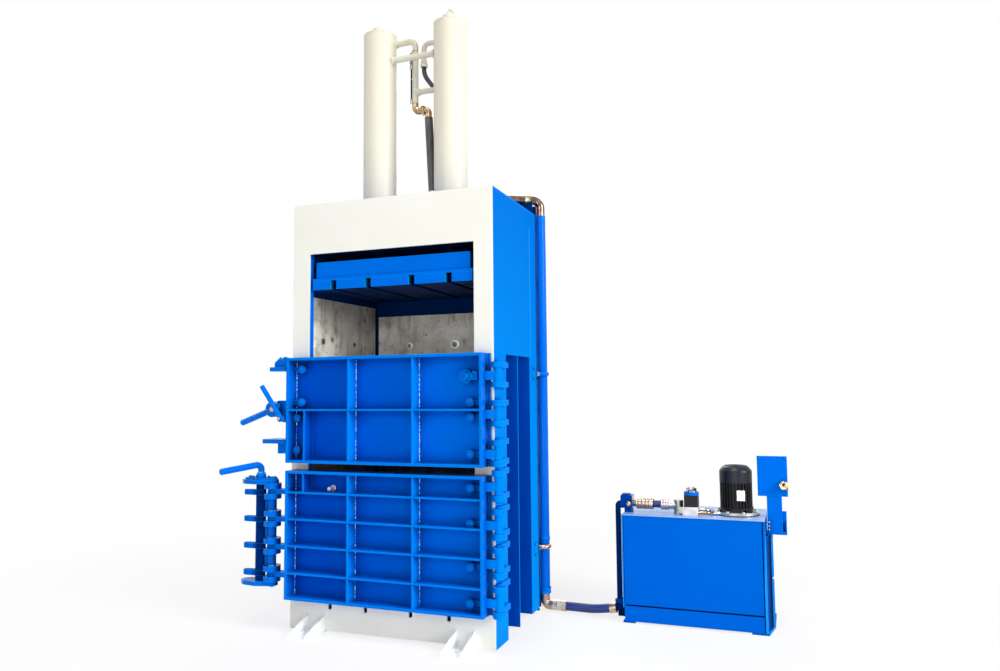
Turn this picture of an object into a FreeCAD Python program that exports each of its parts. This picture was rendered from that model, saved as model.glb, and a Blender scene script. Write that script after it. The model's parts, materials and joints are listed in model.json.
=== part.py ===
"""Two-cylinder vertical recycling baler with its power pack. Millimetres, +Z up.

The origin is on the floor, at the centre of the four floor anchors. +Y points from the
doors to the rear wall, +X towards the door hinges and the power pack.
"""
import FreeCAD, Part
import math
import os

os.makedirs("parts", exist_ok=True)
V = FreeCAD.Vector

# ---------------------------------------------------------------- driving dimensions
# body
body_width = 1500.0          # front plate, left edge to right edge
body_height = 2917.0         # floor to the top of the deck
side_depth = 891.0           # front face to the rear posts' back face
rear_rib_depth = 79.0        # the rear wall's ribs, behind the side frames
front_plate_t = 12.0
frame_plate_t = 10.0
deck_t = 12.0
# chamber
jamb_w = 130.0               # front plate beside the opening
chamber_taper = 35.0         # each side wall leans in this much towards the rear
head_h = 354.0               # opening's top edge to the top of the deck
floor_top = 225.0            # top of the floor pads
slot_floor = 148.0           # bottom of the strap slots in the floor
slot_w = 27.0
platen_slot_w = 46.0
slot_outer_x = 436.0
slot_inner_x = 165.0
jamb_depth = 52.0            # how far the side liners start behind the front face
liner_t = 8.0
side_liner_drop = 44.0       # platen's underside to the side liners' top edge
rear_liner_drop = 113.0
liner_bolt_drop = 326.0      # liners' top edge to their bolts
rear_bolt_drop = 237.0
# side frames
front_post_depth = 236.0
rear_post_start = 730.0
recess_top = 1837.0          # below this height the sides are open between the posts
middle_rib_depth = 468.0
# doors
door_inset = 32.0            # front plate's edge to the doors' rim
door_gap = 10.0              # front plate to the doors' back face
door_depth = 110.0           # back face to the rim's front face
door_back_t = 12.0
door_rim_t = 18.0
door_rib_t = 12.0
door_hinge_lap = 20.0        # the back plate reaches this far past the hinge-side rim
upper_door_z = (1125.0, 1835.0)
lower_door_z = (219.0, 1072.0)
door_rib_x = 236.0           # the two upright ribs
lower_rib_first = 173.0      # first level rib above the lower door's edge
lower_rib_pitch = 178.5
# door hinges
hinge_out = 45.0             # the pins' axis beyond the front plate's edge
hinge_front = 45.0           # the pins' axis in front of the front face
hinge_ear_r = 38.0
hinge_barrel_r = 27.0
hinge_pin_r = 15.0
hinge_ear_t = 36.0
hinge_ear_reach = 180.0      # the ears run back along the post this far
upper_hinge_h = 162.0
lower_hinge_h = 190.0
upper_hinge_z = (1211.0, 1458.0, 1699.0)
lower_hinge_z = (309.0, 544.0, 777.0, 1011.0)
axial_gap = 0.6
running = 0.05               # radial clearance of a turning or sliding fit
# swing lock on the lower door
lock_reach = 142.0           # lower door's free edge to the lock's hinge axis
lock_hinge_front = 60.0
lock_arm = 97.0              # hinge axis to lock shaft axis
lock_pin_r = 18.0
lock_tube_r = 28.5
lock_eye_r = 34.0
lock_ear_r = 59.0
lock_lug_z = 372.0
lock_lug_pitch = 185.0
lock_count = 4
lock_shaft_r = 33.0
claw_reach = 124.0
claw_t = 34.0
claw_ring_r = 36.0
link_t = 30.0
link_top_z = 972.0
link_bottom_z = 290.0
crank_r = 22.0
crank_rise = 78.0
crank_length = 293.0
crank_drop = 31.0            # the handle's end hangs this much lower
crank_turn = 247.0           # the handle's direction in plan, degrees from +X
catch_bar = (45.0, 16.0)     # how far it stands out from the side, and its thickness
# upper door latch
latch_out = 91.0             # hub axis beyond the front plate's edge
latch_z = 1485.0
latch_hub_r = 54.0
latch_handle_r = 21.0
latch_handle_length = 272.0
latch_handle_fall = 20.0     # degrees below level
lever_r = 17.0
lever_length = 288.0
# platen
platen_gap = 15.0            # platen edge to liner
platen_hang = 253.0          # opening's top edge to the platen's underside
platen_pad_h = 62.0
platen_base_t = 18.0
platen_h = 195.0
platen_beam_inset = 21.0
platen_stroke = 1200.0
# cylinders
cylinder_x = 287.0
cylinder_depth = 400.0
barrel_r = 122.5
bore_r = 100.0
barrel_below = 217.0         # the barrels reach this far below the deck's top
barrel_rise = 1334.0         # deck's top to the barrels' shoulders
dome_h = 56.0
dome_cap_r = 66.0
rod_r = 55.0
piston_h = 70.0
deck_flange_r = 165.0
deck_flange_t = 40.0
# pipes on the baler
port_r = 21.5
port_drop = 63.0             # barrels' shoulders to the left port
port_drop_x = -7.0
port_drop_depth = 425.0
return_r = 19.0
return_drop_x = 41.0
return_depth = 470.0
return_drop = 75.0           # shoulders to the return port
cross_drop = 211.0           # shoulders to the cross tube
stub_drop = 456.0
union_drop = 601.0           # shoulders to the union at the port pipe's foot
cross_tube_depth = 368.0
hose_r = 30.0
hose_top_x = 100.0
hose_foot_x = 130.0
thin_hose_r = 6.5
side_pipe_r = 37.5
side_pipe_out = 28.0         # side pipe's axis beyond the front plate's edge
side_pipe_behind = 59.0      # and behind the side frames
side_pipe_bottom = 172.0
deck_pipe_rise = 115.0       # above the deck
clamp_heights = (466.0, 1720.0)
pack_hose_r = 31.0
pack_hose_z = 46.0
# floor anchors
foot_inset = 204.0           # front plate's edge to the anchor hole
foot_w = 150.0
foot_t = 12.0
foot_hole_r = 10.0
anchor_reach = 128.0         # hole centre beyond the body
foot_reach = 225.0
gusset_h = 95.0
# power pack
tank_gap = 633.0             # front plate's edge to the tank
tank_length = 922.0
tank_ahead = 108.0           # the tank's front stands this far ahead of the side pipe
tank_depth = 530.0
tank_top = 735.0
tank_wall = 4.0
lid_t = 6.0
motor_inset = 178.0          # tank's right end to the motor's axis
motor_back = 243.0           # tank's front to the motor's axis
motor_flange_r = 148.0
motor_r = 109.0
motor_fins = 30
motor_h = 331.0              # lid to the cowl's top
riser_r = 19.0
pressure_line_back = 133.0   # behind the tank's front
pressure_line_rise = 62.0    # above the lid
panel_post_out = 72.0        # tank's right end to the post's middle
panel_back = 158.0           # behind the tank's front

# ---------------------------------------------------------------- values worked out
body_depth = side_depth + rear_rib_depth
front_y = -body_depth / 2
body_half = body_width / 2
chamber_half = body_half - jamb_w
opening_top = body_height - head_h


def Y(depth):
    """Row Y of a point that lies this far behind the front face."""
    return front_y + depth


def half_width(depth):
    """Half the chamber's width between the liners, at this depth."""
    return chamber_half - chamber_taper * depth / side_depth


wall_in = liner_t                      # side plate's inner face outside the liner's face
wall_out = liner_t + front_plate_t     # side plate's outer face
side_top = body_height - deck_t
rear_liner_face = side_depth - liner_t
strap_slots = (-slot_outer_x, -slot_inner_x, slot_inner_x, slot_outer_x)
door_half = body_half - door_inset
foot_x = body_half - foot_inset
hinge_x = body_half + hinge_out
lock_hinge_x = -door_half - lock_reach
latch_x = -body_half - latch_out
platen_bottom = opening_top - platen_hang
platen_beam_top = platen_bottom + platen_h
side_liner_top = platen_bottom - side_liner_drop
rear_liner_top = platen_bottom - rear_liner_drop
liner_bolt_z = side_liner_top - liner_bolt_drop
rear_bolt_z = rear_liner_top - rear_bolt_drop
barrel_bottom = body_height - barrel_below
barrel_shoulder = body_height + barrel_rise
barrel_top = barrel_shoulder + dome_h
port_z = barrel_shoulder - port_drop
return_z = barrel_shoulder - return_drop
cross_tube_z = barrel_shoulder - cross_drop
stub_z = barrel_shoulder - stub_drop
union_z = barrel_shoulder - union_drop
side_pipe_x = body_half + side_pipe_out
side_pipe_depth = side_depth + side_pipe_behind
deck_pipe_z = body_height + deck_pipe_rise
tank_x = (body_half + tank_gap, body_half + tank_gap + tank_length)
tank_front = side_pipe_depth - tank_ahead
motor_x = tank_x[1] - motor_inset
motor_depth = tank_front + motor_back
motor_top = tank_top + motor_h
pressure_line_depth = tank_front + pressure_line_back
pressure_line_z = tank_top + pressure_line_rise
panel_post_x = tank_x[1] + panel_post_out
panel_depth = tank_front + panel_back
platen_base_z = platen_bottom + platen_pad_h
platen_top_of_base = platen_base_z + platen_base_t
cylinder_y = Y(cylinder_depth)
lock_y = Y(-lock_hinge_front)
lock_shaft_x = lock_hinge_x - lock_arm
hinge_y = Y(-hinge_front)


# ---------------------------------------------------------------- building blocks
def box(x0, x1, y0, y1, z0, z1):
    return Part.makeBox(x1 - x0, y1 - y0, z1 - z0, V(x0, y0, z0))


def rod(x, y, z0, z1, r):
    return Part.makeCylinder(r, z1 - z0, V(x, y, z0))


def rod_x(x0, x1, y, z, r):
    return Part.makeCylinder(r, x1 - x0, V(x0, y, z), V(1, 0, 0))


def rod_y(x, y0, y1, z, r):
    return Part.makeCylinder(r, y1 - y0, V(x, y0, z), V(0, 1, 0))


def prism(points, z0, z1):
    """Plan outline (x, y), raised from z0 to z1."""
    corners = [V(x, y, z0) for x, y in points]
    face = Part.Face(Part.makePolygon(corners + corners[:1]))
    return face.extrude(V(0, 0, z1 - z0))


def slab_y(points, y0, y1):
    """Front outline (x, z), drawn back from y0 to y1."""
    corners = [V(x, y0, z) for x, z in points]
    face = Part.Face(Part.makePolygon(corners + corners[:1]))
    return face.extrude(V(0, y1 - y0, 0))


def slab_x(points, x0, x1):
    """Side outline (y, z), drawn from x0 to x1."""
    corners = [V(x0, y, z) for y, z in points]
    face = Part.Face(Part.makePolygon(corners + corners[:1]))
    return face.extrude(V(x1 - x0, 0, 0))


def fuse(pieces):
    whole = pieces[0].multiFuse(pieces[1:]) if len(pieces) > 1 else pieces[0]
    return whole.removeSplitter()


def mirror_x(shape):
    return shape.mirror(V(0, 0, 0), V(1, 0, 0))


def hexagon(x, y, across):
    r = across / math.sqrt(3)
    return [(x + r * math.cos(math.radians(60 * i)), y + r * math.sin(math.radians(60 * i)))
            for i in range(6)]


def turned(profile, x, y, z):
    """A solid of revolution about a vertical axis; profile is (radius, height) points."""
    corners = [V(r, 0, h) for r, h in profile]
    face = Part.Face(Part.makePolygon(corners + corners[:1]))
    shape = face.revolve(V(0, 0, 0), V(0, 0, 1), 360)
    shape.translate(V(x, y, z))
    return shape


def tube(points, radius, bend, bore=0.0):
    """A pipe along straight runs with round bends; points are (x, y, z)."""
    path = [V(*p) for p in points]
    edges = []
    start = path[0]
    for before, corner, after in zip(path, path[1:], path[2:]):
        into = (corner - before).normalize()
        out = (after - corner).normalize()
        turn = into.getAngle(out)
        cut = bend * math.tan(turn / 2)
        arc_in = corner - into * cut
        arc_out = corner + out * cut
        towards = (out - into).normalize()
        middle = corner + towards * (bend / math.cos(turn / 2) - bend)
        edges.append(Part.makeLine(start, arc_in))
        edges.append(Part.Arc(arc_in, middle, arc_out).toShape())
        start = arc_out
    edges.append(Part.makeLine(start, path[-1]))
    spine = Part.Wire(edges)
    direction = path[1] - path[0]

    def swept(r):
        ring = Part.Wire(Part.makeCircle(r, path[0], direction))
        return spine.makePipeShell([ring], True, False)

    return swept(radius).cut(swept(bore)) if bore else swept(radius)


def write(node, pieces):
    shape = pieces[0] if len(pieces) == 1 else Part.makeCompound(pieces)
    shape.exportStep("parts/" + node + ".step")


def chamber_plan(front, rear, margin):
    """Plan outline between the side walls, with a margin outside the liners' faces."""
    right = [(half_width(front) + margin, Y(front)), (half_width(rear) + margin, Y(rear))]
    return right + [(-x, y) for x, y in reversed(right)]


# ---------------------------------------------------------------- fixed frame
def front_portal():
    plate = box(-body_half, body_half, Y(0), Y(front_plate_t), 0, body_height)
    opening = box(-chamber_half, chamber_half, Y(-1), Y(front_plate_t + 1), floor_top, opening_top)
    toe_x = foot_x - foot_w / 2
    toe_gap = box(-toe_x, toe_x, Y(-1), Y(front_plate_t + 1), -1, foot_t)
    plate = plate.cut(opening).cut(toe_gap)
    for x in strap_slots:
        r = slot_w / 2
        notch = box(x - r, x + r, Y(-1), Y(front_plate_t + 1), slot_floor + r, floor_top + 1)
        notch = notch.fuse(rod_y(x, Y(-1), Y(front_plate_t + 1), slot_floor + r, r))
        plate = plate.cut(notch)
    return plate


def side_frame():
    """Right-hand side: wall, two hollow posts, middle rib and the closed upper panel."""
    d0 = front_plate_t
    t = frame_plate_t
    wall = prism([
        (half_width(d0), Y(d0)),
        (half_width(jamb_depth), Y(jamb_depth)),
        (half_width(jamb_depth) + wall_in, Y(jamb_depth)),
        (half_width(side_depth) + wall_in, Y(side_depth)),
        (half_width(side_depth) + wall_out, Y(side_depth)),
        (half_width(d0) + wall_out, Y(d0)),
    ], 0, side_top)

    def post(front, rear, foot):
        outer = prism([
            (half_width(front) + wall_in + 2, Y(front)),
            (body_half, Y(front)),
            (body_half, Y(rear)),
            (half_width(rear) + wall_in + 2, Y(rear)),
        ], foot, side_top)
        inner = prism([
            (half_width(front + t) + wall_out, Y(front + t)),
            (body_half - t, Y(front + t)),
            (body_half - t, Y(rear - t)),
            (half_width(rear - t) + wall_out, Y(rear - t)),
        ], foot + t, side_top + 1)
        return outer, inner

    front_outer, front_inner = post(d0, front_post_depth, 0)
    rear_outer, rear_inner = post(rear_post_start, side_depth, 30)
    rib_x = half_width(middle_rib_depth) + wall_in + 2
    rib = box(rib_x, body_half, Y(middle_rib_depth - t / 2), Y(middle_rib_depth + t / 2), 15, recess_top)
    ledge = prism([
        (half_width(front_post_depth) + wall_in + 2, Y(front_post_depth - t)),
        (body_half, Y(front_post_depth - t)),
        (body_half, Y(rear_post_start + t)),
        (half_width(rear_post_start) + wall_in + 2, Y(rear_post_start + t)),
    ], recess_top, recess_top + t)
    panel = box(body_half - t, body_half, Y(front_post_depth - t), Y(rear_post_start + t),
                recess_top, side_top)
    shape = fuse([wall, front_outer, rear_outer, rib, ledge, panel])
    return shape.cut(front_inner).cut(rear_inner)


def rear_wall():
    t = frame_plate_t
    rib_h = 95.0
    plate = box(-body_half, body_half, Y(side_depth), Y(side_depth + t), foot_t, side_top)
    pieces = [plate]
    hollows = []
    top_rib = side_top - rib_h
    for i in range(7):
        z = foot_t + i * (top_rib - foot_t) / 6
        half = body_half - 70
        pieces.append(box(-half, half, Y(side_depth), Y(body_depth), z, z + rib_h))
        hollows.append(box(-half - 10, half + 10, Y(side_depth + t), Y(body_depth - t), z + t, z + rib_h - t))
    shape = fuse(pieces)
    for hollow in hollows:
        shape = shape.cut(hollow)
    return shape


def head_yoke():
    """Deck, ceiling and the cross webs that carry the two cylinders."""
    d0 = front_plate_t
    deck = box(-body_half, body_half, Y(d0), Y(side_depth + frame_plate_t), side_top, body_height)
    ceiling = prism(chamber_plan(jamb_depth, side_depth, wall_in), opening_top, opening_top + deck_t)
    lip = prism(chamber_plan(d0, jamb_depth, 0), opening_top, opening_top + deck_t)
    pieces = [deck, ceiling, lip]
    web_depths = (cylinder_depth - 175, cylinder_depth + 175)
    for depth in web_depths:
        web = chamber_plan(depth - 8, depth + 8, wall_in)
        pieces.append(prism(web, opening_top, side_top))
    spine = box(-8, 8, Y(web_depths[0]), Y(web_depths[1]), opening_top, side_top)
    pieces.append(spine)
    shape = fuse(pieces)
    for x in (-cylinder_x, cylinder_x):
        shape = shape.cut(rod(x, cylinder_y, side_top - 1, body_height + 1, barrel_r + 0.5))
        shape = shape.cut(rod(x, cylinder_y, opening_top - 1, opening_top + deck_t + 1, rod_r + 25))
        for bolt_x, bolt_y in deck_bolt_places(x):
            shape = shape.cut(rod(bolt_x, bolt_y, side_top - 1, body_height + 1, 12.2))
    return shape


def deck_bolt_places(x):
    ring = (barrel_r + deck_flange_r) / 2
    return [(x + ring * math.cos(math.radians(45 * i + 22.5)),
             cylinder_y + ring * math.sin(math.radians(45 * i + 22.5))) for i in range(8)]


def chamber_floor():
    """Floor plate on cross bearers, under the pads that leave the strap channels."""
    d0 = front_plate_t
    plate = prism(chamber_plan(jamb_depth, side_depth, wall_in), slot_floor - 10, slot_floor)
    lip = prism(chamber_plan(d0, jamb_depth, 0), slot_floor - 10, slot_floor)
    pieces = [plate, lip]
    bearer_depths = (140.0, side_depth / 2, side_depth - 131)
    for depth in bearer_depths:
        pieces.append(prism(chamber_plan(depth - 6, depth + 6, wall_in), foot_t, slot_floor - 10))
    for x in (-chamber_half / 2, 0.0, chamber_half / 2):
        pieces.append(box(x - 6, x + 6, Y(bearer_depths[0]), Y(bearer_depths[-1]), foot_t, slot_floor - 10))
    return fuse(pieces)


def strap_pads(z0, z1, front, rear, margin, channel_w, open_top):
    """Five hollow pads side by side, with a strap channel between each two."""
    t = 12.0
    edges = [None]
    for x in strap_slots:
        edges += [x - channel_w / 2, x + channel_w / 2]
    edges.append(None)
    pads = []
    for left, right in zip(edges[::2], edges[1::2]):
        def outline(inset, d0, d1):
            def side(value, depth, sign):
                edge = half_width(depth) - margin
                return sign * edge if value is None else value
            return [
                (side(left, d0, -1) + inset, Y(d0)),
                (side(right, d0, 1) - inset, Y(d0)),
                (side(right, d1, 1) - inset, Y(d1)),
                (side(left, d1, -1) + inset, Y(d1)),
            ]
        solid = prism(outline(0, front, rear), z0, z1)
        if open_top:
            hollow = prism(outline(t, front + t, rear - t), z0 + t, z1 + 1)
        else:
            hollow = prism(outline(t, front + t, rear - t), z0 - 1, z1 - t)
        pads.append(solid.cut(hollow))
    return pads


liner_bolt_depths = (0.37 * side_depth, 0.8 * side_depth)
rear_bolt_x = (-0.47 * chamber_half, 0.16 * chamber_half, 0.79 * chamber_half)
liner_bolt_r = 9.0


def side_liner(sign):
    end = side_depth - 30
    face = [(half_width(jamb_depth), Y(jamb_depth)), (half_width(end), Y(end)),
            (half_width(end) + liner_t, Y(end)), (half_width(jamb_depth) + liner_t, Y(jamb_depth))]
    plate = prism(face, slot_floor, side_liner_top)
    for depth in liner_bolt_depths:
        x = half_width(depth)
        plate = plate.cut(rod_x(x - 5, x + liner_t + 5, Y(depth), liner_bolt_z, liner_bolt_r))
    return plate if sign > 0 else mirror_x(plate)


def rear_liner():
    half = half_width(side_depth) - 18
    plate = box(-half, half, Y(rear_liner_face), Y(side_depth), slot_floor, rear_liner_top)
    for x in rear_bolt_x:
        plate = plate.cut(rod_y(x, Y(rear_liner_face - 1), Y(side_depth + 1), rear_bolt_z, liner_bolt_r))
    return plate


def liner_bolts():
    """Low round heads that stand a little proud of the liners."""
    bolts = []
    for depth in liner_bolt_depths:
        x = half_width(depth)
        head = rod_x(x - 4, x - 1.2, Y(depth), liner_bolt_z, 17)
        shank = rod_x(x - 2, x + liner_t - 0.6, Y(depth), liner_bolt_z, liner_bolt_r - 0.2)
        bolt = head.fuse(shank)
        bolts += [bolt, mirror_x(bolt)]
    for x in rear_bolt_x:
        head = rod_y(x, Y(rear_liner_face - 5), Y(rear_liner_face), rear_bolt_z, 17)
        shank = rod_y(x, Y(rear_liner_face), Y(side_depth), rear_bolt_z, liner_bolt_r - 0.2)
        bolts.append(head.fuse(shank))
    return bolts


def anchor_foot(x, rear):
    """Base plate with one anchor hole and two sloping gussets, in front of the body."""
    w = foot_w / 2
    plate = box(x - w, x + w, Y(-foot_reach), Y(front_plate_t), 0, foot_t)
    front = box(x - w, x + w, Y(-foot_reach), Y(0), 0, foot_t)
    shape = front if rear else plate.common(front)
    for side in (-w + 6, w - 18):
        slope = [(Y(0), foot_t), (Y(-foot_reach + 12), foot_t), (Y(-foot_reach + 12), foot_t + 14),
                 (Y(0), foot_t + gusset_h)]
        shape = shape.fuse(slab_x(slope, x + side, x + side + 12))
    shape = shape.cut(rod(x, Y(-anchor_reach), -1, foot_t + 1, foot_hole_r)).removeSplitter()
    if rear:
        shape = shape.mirror(V(0, 0, 0), V(0, 1, 0))
    return shape


# ---------------------------------------------------------------- cylinders
def cylinder_barrel(x):
    dome = [
        (barrel_r, barrel_shoulder - 7),
        (barrel_r - 2, barrel_shoulder - 2),
        (barrel_r - 7, barrel_shoulder + 2),
        (dome_cap_r + 4, barrel_shoulder + 0.5 * dome_h),
        (dome_cap_r, barrel_shoulder + 0.6 * dome_h),
        (dome_cap_r - 2, barrel_top - 6),
        (dome_cap_r - 8, barrel_top),
        (0.0, barrel_top),
    ]
    flange_top = body_height + deck_flange_t
    profile = [
        (bore_r, barrel_bottom),
        (barrel_r, barrel_bottom),
        (barrel_r, body_height),
        (deck_flange_r, body_height),
        (deck_flange_r, flange_top),
        (barrel_r, flange_top),
    ] + dome + [(0.0, barrel_shoulder - 22), (bore_r, barrel_shoulder - 22)]
    barrel = turned(profile, x, cylinder_y, 0)
    for bolt_x, bolt_y in deck_bolt_places(x):
        barrel = barrel.cut(rod(bolt_x, bolt_y, body_height - 1, flange_top + 1, 12.2))
    return barrel


def cylinder_gland(x):
    """Rod guide that closes the barrel's lower end."""
    body = turned([
        (rod_r + running, barrel_bottom - 18),
        (barrel_r, barrel_bottom - 18),
        (barrel_r, barrel_bottom),
        (bore_r, barrel_bottom),
        (bore_r, barrel_bottom + 90),
        (rod_r + running, barrel_bottom + 90),
    ], x, cylinder_y, 0)
    return body


def deck_bolts():
    bolts = []
    top = body_height + deck_flange_t
    for x in (-cylinder_x, cylinder_x):
        for bx, by in deck_bolt_places(x):
            head = prism(hexagon(bx, by, 34), top, top + 15)
            shank = rod(bx, by, side_top - 20, top, 12)
            nut = prism(hexagon(bx, by, 34), side_top - 18, side_top)
            bolts.append(head.fuse(shank).fuse(nut))
    return bolts


piston_top = barrel_shoulder - 26
piston_z = piston_top - piston_h
foot_disc_r = rod_r + 37


def piston_rod(x):
    foot = rod(x, cylinder_y, platen_top_of_base, platen_top_of_base + 30, foot_disc_r)
    stem = rod(x, cylinder_y, platen_top_of_base, piston_z, rod_r)
    return foot.fuse(stem).removeSplitter()


def piston(x):
    return rod(x, cylinder_y, piston_z, piston_top, bore_r - running)


eye_ring_r = 21.0
eye_bar_r = 7.5
eye_rise = 30.0


def lifting_eye():
    """Forged eye on the right-hand cylinder's dome."""
    z = barrel_top
    ring = Part.makeTorus(eye_ring_r, eye_bar_r, V(cylinder_x, cylinder_y, z + eye_rise), V(0, 1, 0))
    stem = turned([(0, 0), (30, 0), (27, 6), (16, eye_rise - eye_ring_r + 3),
                   (0, eye_rise - eye_ring_r + 3)], cylinder_x, cylinder_y, z)
    return ring.fuse(stem).removeSplitter()


def bleed_plug():
    x = -cylinder_x
    collar = rod(x, cylinder_y, barrel_top, barrel_top + 5, 24)
    cap = prism(hexagon(x, cylinder_y, 24), barrel_top + 5, barrel_top + 14)
    return collar.fuse(cap).removeSplitter()


# ---------------------------------------------------------------- oil lines on the baler
port_face_x = cylinder_x - barrel_r + 6
cross_face = math.sqrt(barrel_r ** 2 - (cross_tube_depth - cylinder_depth) ** 2)
bend_r = 48.0
hose_top_z = union_z - 58
hose_foot_z = body_height + 122
manifold_top = body_height + 166
manifold_depth = cylinder_depth + deck_flange_r + 5
main_port_z = body_height + 81


def cross_tube():
    x = cylinder_x - cross_face + 4
    y = Y(cross_tube_depth)
    bar = rod_x(-x, x, y, cross_tube_z, port_r)
    collars = [rod_x(-x, -x + 16, y, cross_tube_z, port_r + 8), rod_x(x - 16, x, y, cross_tube_z, port_r + 8)]
    whole = fuse([bar] + collars)
    return without_barrels(whole)


def without_barrels(shape):
    for x in (-cylinder_x, cylinder_x):
        shape = shape.cut(rod(x, cylinder_y, body_height, barrel_top, barrel_r))
    return shape


def port_pipes():
    """Left port pipe down to its elbow, right return pipe, and the stub that joins them."""
    y = Y(port_drop_depth)
    left = tube([(-cylinder_x + 60, y, port_z), (port_drop_x, y, port_z), (port_drop_x, y, union_z + 62)],
                port_r, bend_r)
    right = tube([(cylinder_x - 60, Y(return_depth), return_z), (return_drop_x, Y(return_depth), return_z),
                  (return_drop_x, Y(return_depth), return_z - 130)], return_r, 42)
    stub = rod_x(port_drop_x, cylinder_x - 60, y, stub_z, 20)
    stub = stub.fuse(rod_x(port_drop_x, port_drop_x + port_r + 14, y, stub_z, 25))
    stub = stub.cut(rod(port_drop_x, y, union_z, port_z, port_r)).removeSplitter()
    joint = rod(port_drop_x, y, port_z - 124, port_z - 96, port_r + 5)
    left = fuse([left, joint, rod_x(-port_face_x, -port_face_x + 14, y, port_z, port_r + 7)])
    right = right.fuse(rod_x(port_face_x - 14, port_face_x, Y(return_depth), return_z, return_r + 7)).removeSplitter()
    return [without_barrels(left), without_barrels(right), without_barrels(stub)]


return_fitting_z = return_z - 130


def port_fittings():
    """Elbow, union and hose tail of the main line, and the return pipe's swivel nut."""
    y = Y(port_drop_depth)
    elbow = tube([(port_drop_x, y, union_z + 62), (port_drop_x, y, union_z), (port_drop_x + 52, y, union_z)],
                 port_r + 3, 36)
    nut = slab_x(hexagon(y, union_z, 62), port_drop_x + 52, port_drop_x + 76)
    down = tube([(port_drop_x + 76, y, union_z), (hose_top_x, y, union_z), (hose_top_x, y, hose_top_z)],
                port_r + 3, 28)
    swivel = turned([(0, 0), (return_r + 9, 0), (return_r + 9, 26), (return_r + 3, 30), (return_r + 3, 48),
                     (0, 48)], return_drop_x, Y(return_depth), return_fitting_z - 48)
    return [elbow, nut, down, swivel]


def cylinder_hoses():
    """Main hose down to the deck, return hose behind the right cylinder, thin bypass hose."""
    y = Y(port_drop_depth)
    lean = (hose_foot_x - hose_top_x) / (hose_top_z - hose_foot_z)
    main = tube([(hose_top_x - 9 * lean, y, hose_top_z + 9), (hose_foot_x + 9 * lean, y, hose_foot_z - 9)], hose_r, 0)
    main = main.common(box(0, 300, y - 90, y + 90, hose_foot_z, hose_top_z))
    start = return_fitting_z - 48
    back_y = Y(return_depth)
    back = tube([(return_drop_x, back_y, start), (return_drop_x, back_y, start - 60),
                 (return_foot_x, return_foot_y, start - 300), (return_foot_x, return_foot_y, manifold_top + 50)],
                17, 110)
    thin = rod(bypass_x, y, union_z + 96, port_z - 158, thin_hose_r)
    return [main, back, thin]


bypass_x = port_drop_x - port_r - 12
return_foot_x = 196.0
return_foot_y = Y(manifold_depth + 40)


def hose_tails():
    """Swaged tails at the deck block and the small fittings of the bypass hose."""
    y = Y(port_drop_depth)
    x = hose_foot_x
    main = turned([(0, 0), (hose_r - 4, 0), (hose_r + 4, 5), (hose_r + 4, 16), (0, 16)], x, y, hose_foot_z - 16)
    main = main.fuse(tube([(x, y, hose_foot_z - 15), (x, y, main_port_z), (x, Y(manifold_depth), main_port_z)],
                          20, 24)).removeSplitter()
    back = turned([(0, 0), (16, 0), (16, 14), (21, 18), (21, 50), (0, 50)],
                  return_foot_x, return_foot_y, manifold_top)
    x = bypass_x
    upper = rod(x, y, port_z - 158, port_z - 118, 9.5).fuse(
        rod_x(x, port_drop_x, y, port_z - 112, 9)).fuse(rod(x, y, port_z - 124, port_z - 100, 12))
    upper = upper.cut(rod(port_drop_x, y, union_z, port_z, port_r))
    upper = upper.cut(rod(port_drop_x, y, port_z - 124, port_z - 96, port_r + 5)).removeSplitter()
    lower_z = union_z + 76
    lower = rod(x, y, lower_z, union_z + 96, 9.5).fuse(rod(x, y, lower_z - 8, lower_z + 12, 12)).fuse(
        rod_x(x, port_drop_x, y, lower_z + 2, 9))
    lower = lower.cut(rod(port_drop_x, y, union_z + 50, port_z, port_r)).removeSplitter()
    return [main, back, upper, lower]


def deck_block():
    """Valve block on the deck, behind the cylinders' flanges, that the lines meet at."""
    return box(manifold_x[0], manifold_x[1], Y(manifold_depth), Y(manifold_depth + 90), body_height, manifold_top)


def deck_pipe():
    """Steel pipe slantwise over the deck, from the block to the top of the side pipe."""
    y = Y(side_pipe_depth)
    corner = V(side_pipe_x, y, deck_pipe_z)
    pipe = tube([tuple(deck_pipe_start), tuple(corner), (side_pipe_x, y, side_pipe_top)], side_pipe_r - 4, 60,
                side_pipe_r - 10)
    along = (corner - deck_pipe_start).normalize()
    collar = Part.makeCylinder(side_pipe_r, 30, corner - along * 108, along)
    collar = collar.cut(Part.makeCylinder(side_pipe_r - 6, 32, corner - along * 109, along))
    return pipe.fuse(collar).cut(deck_block()).removeSplitter()


def deck_stay():
    """Upright plate at the deck's rear corner that carries the slanting pipe."""
    x = body_half - 12
    corner = V(side_pipe_x, Y(side_pipe_depth), deck_pipe_z)
    run = corner - deck_pipe_start
    along = V(run.x, run.y, run.z).normalize()
    plate = box(x - 120, x, Y(side_depth - 20), Y(side_depth - 8), body_height, deck_pipe_z - 20)
    plate = plate.cut(Part.makeCylinder(side_pipe_r - 4, run.Length, deck_pipe_start, along))
    return plate.cut(Part.makeCylinder(side_pipe_r, 110, corner - along * 109, along))


side_pipe_top = deck_pipe_z - 120
manifold_x = (60.0, 240.0)
deck_pipe_start = V(manifold_x[1] - 60, Y(manifold_depth + 45), deck_pipe_z)


def side_pipe():
    ring = rod(side_pipe_x, Y(side_pipe_depth), side_pipe_bottom, side_pipe_top, side_pipe_r)
    return ring.cut(rod(side_pipe_x, Y(side_pipe_depth), side_pipe_bottom - 1, side_pipe_top + 1, side_pipe_r - 6))


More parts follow.
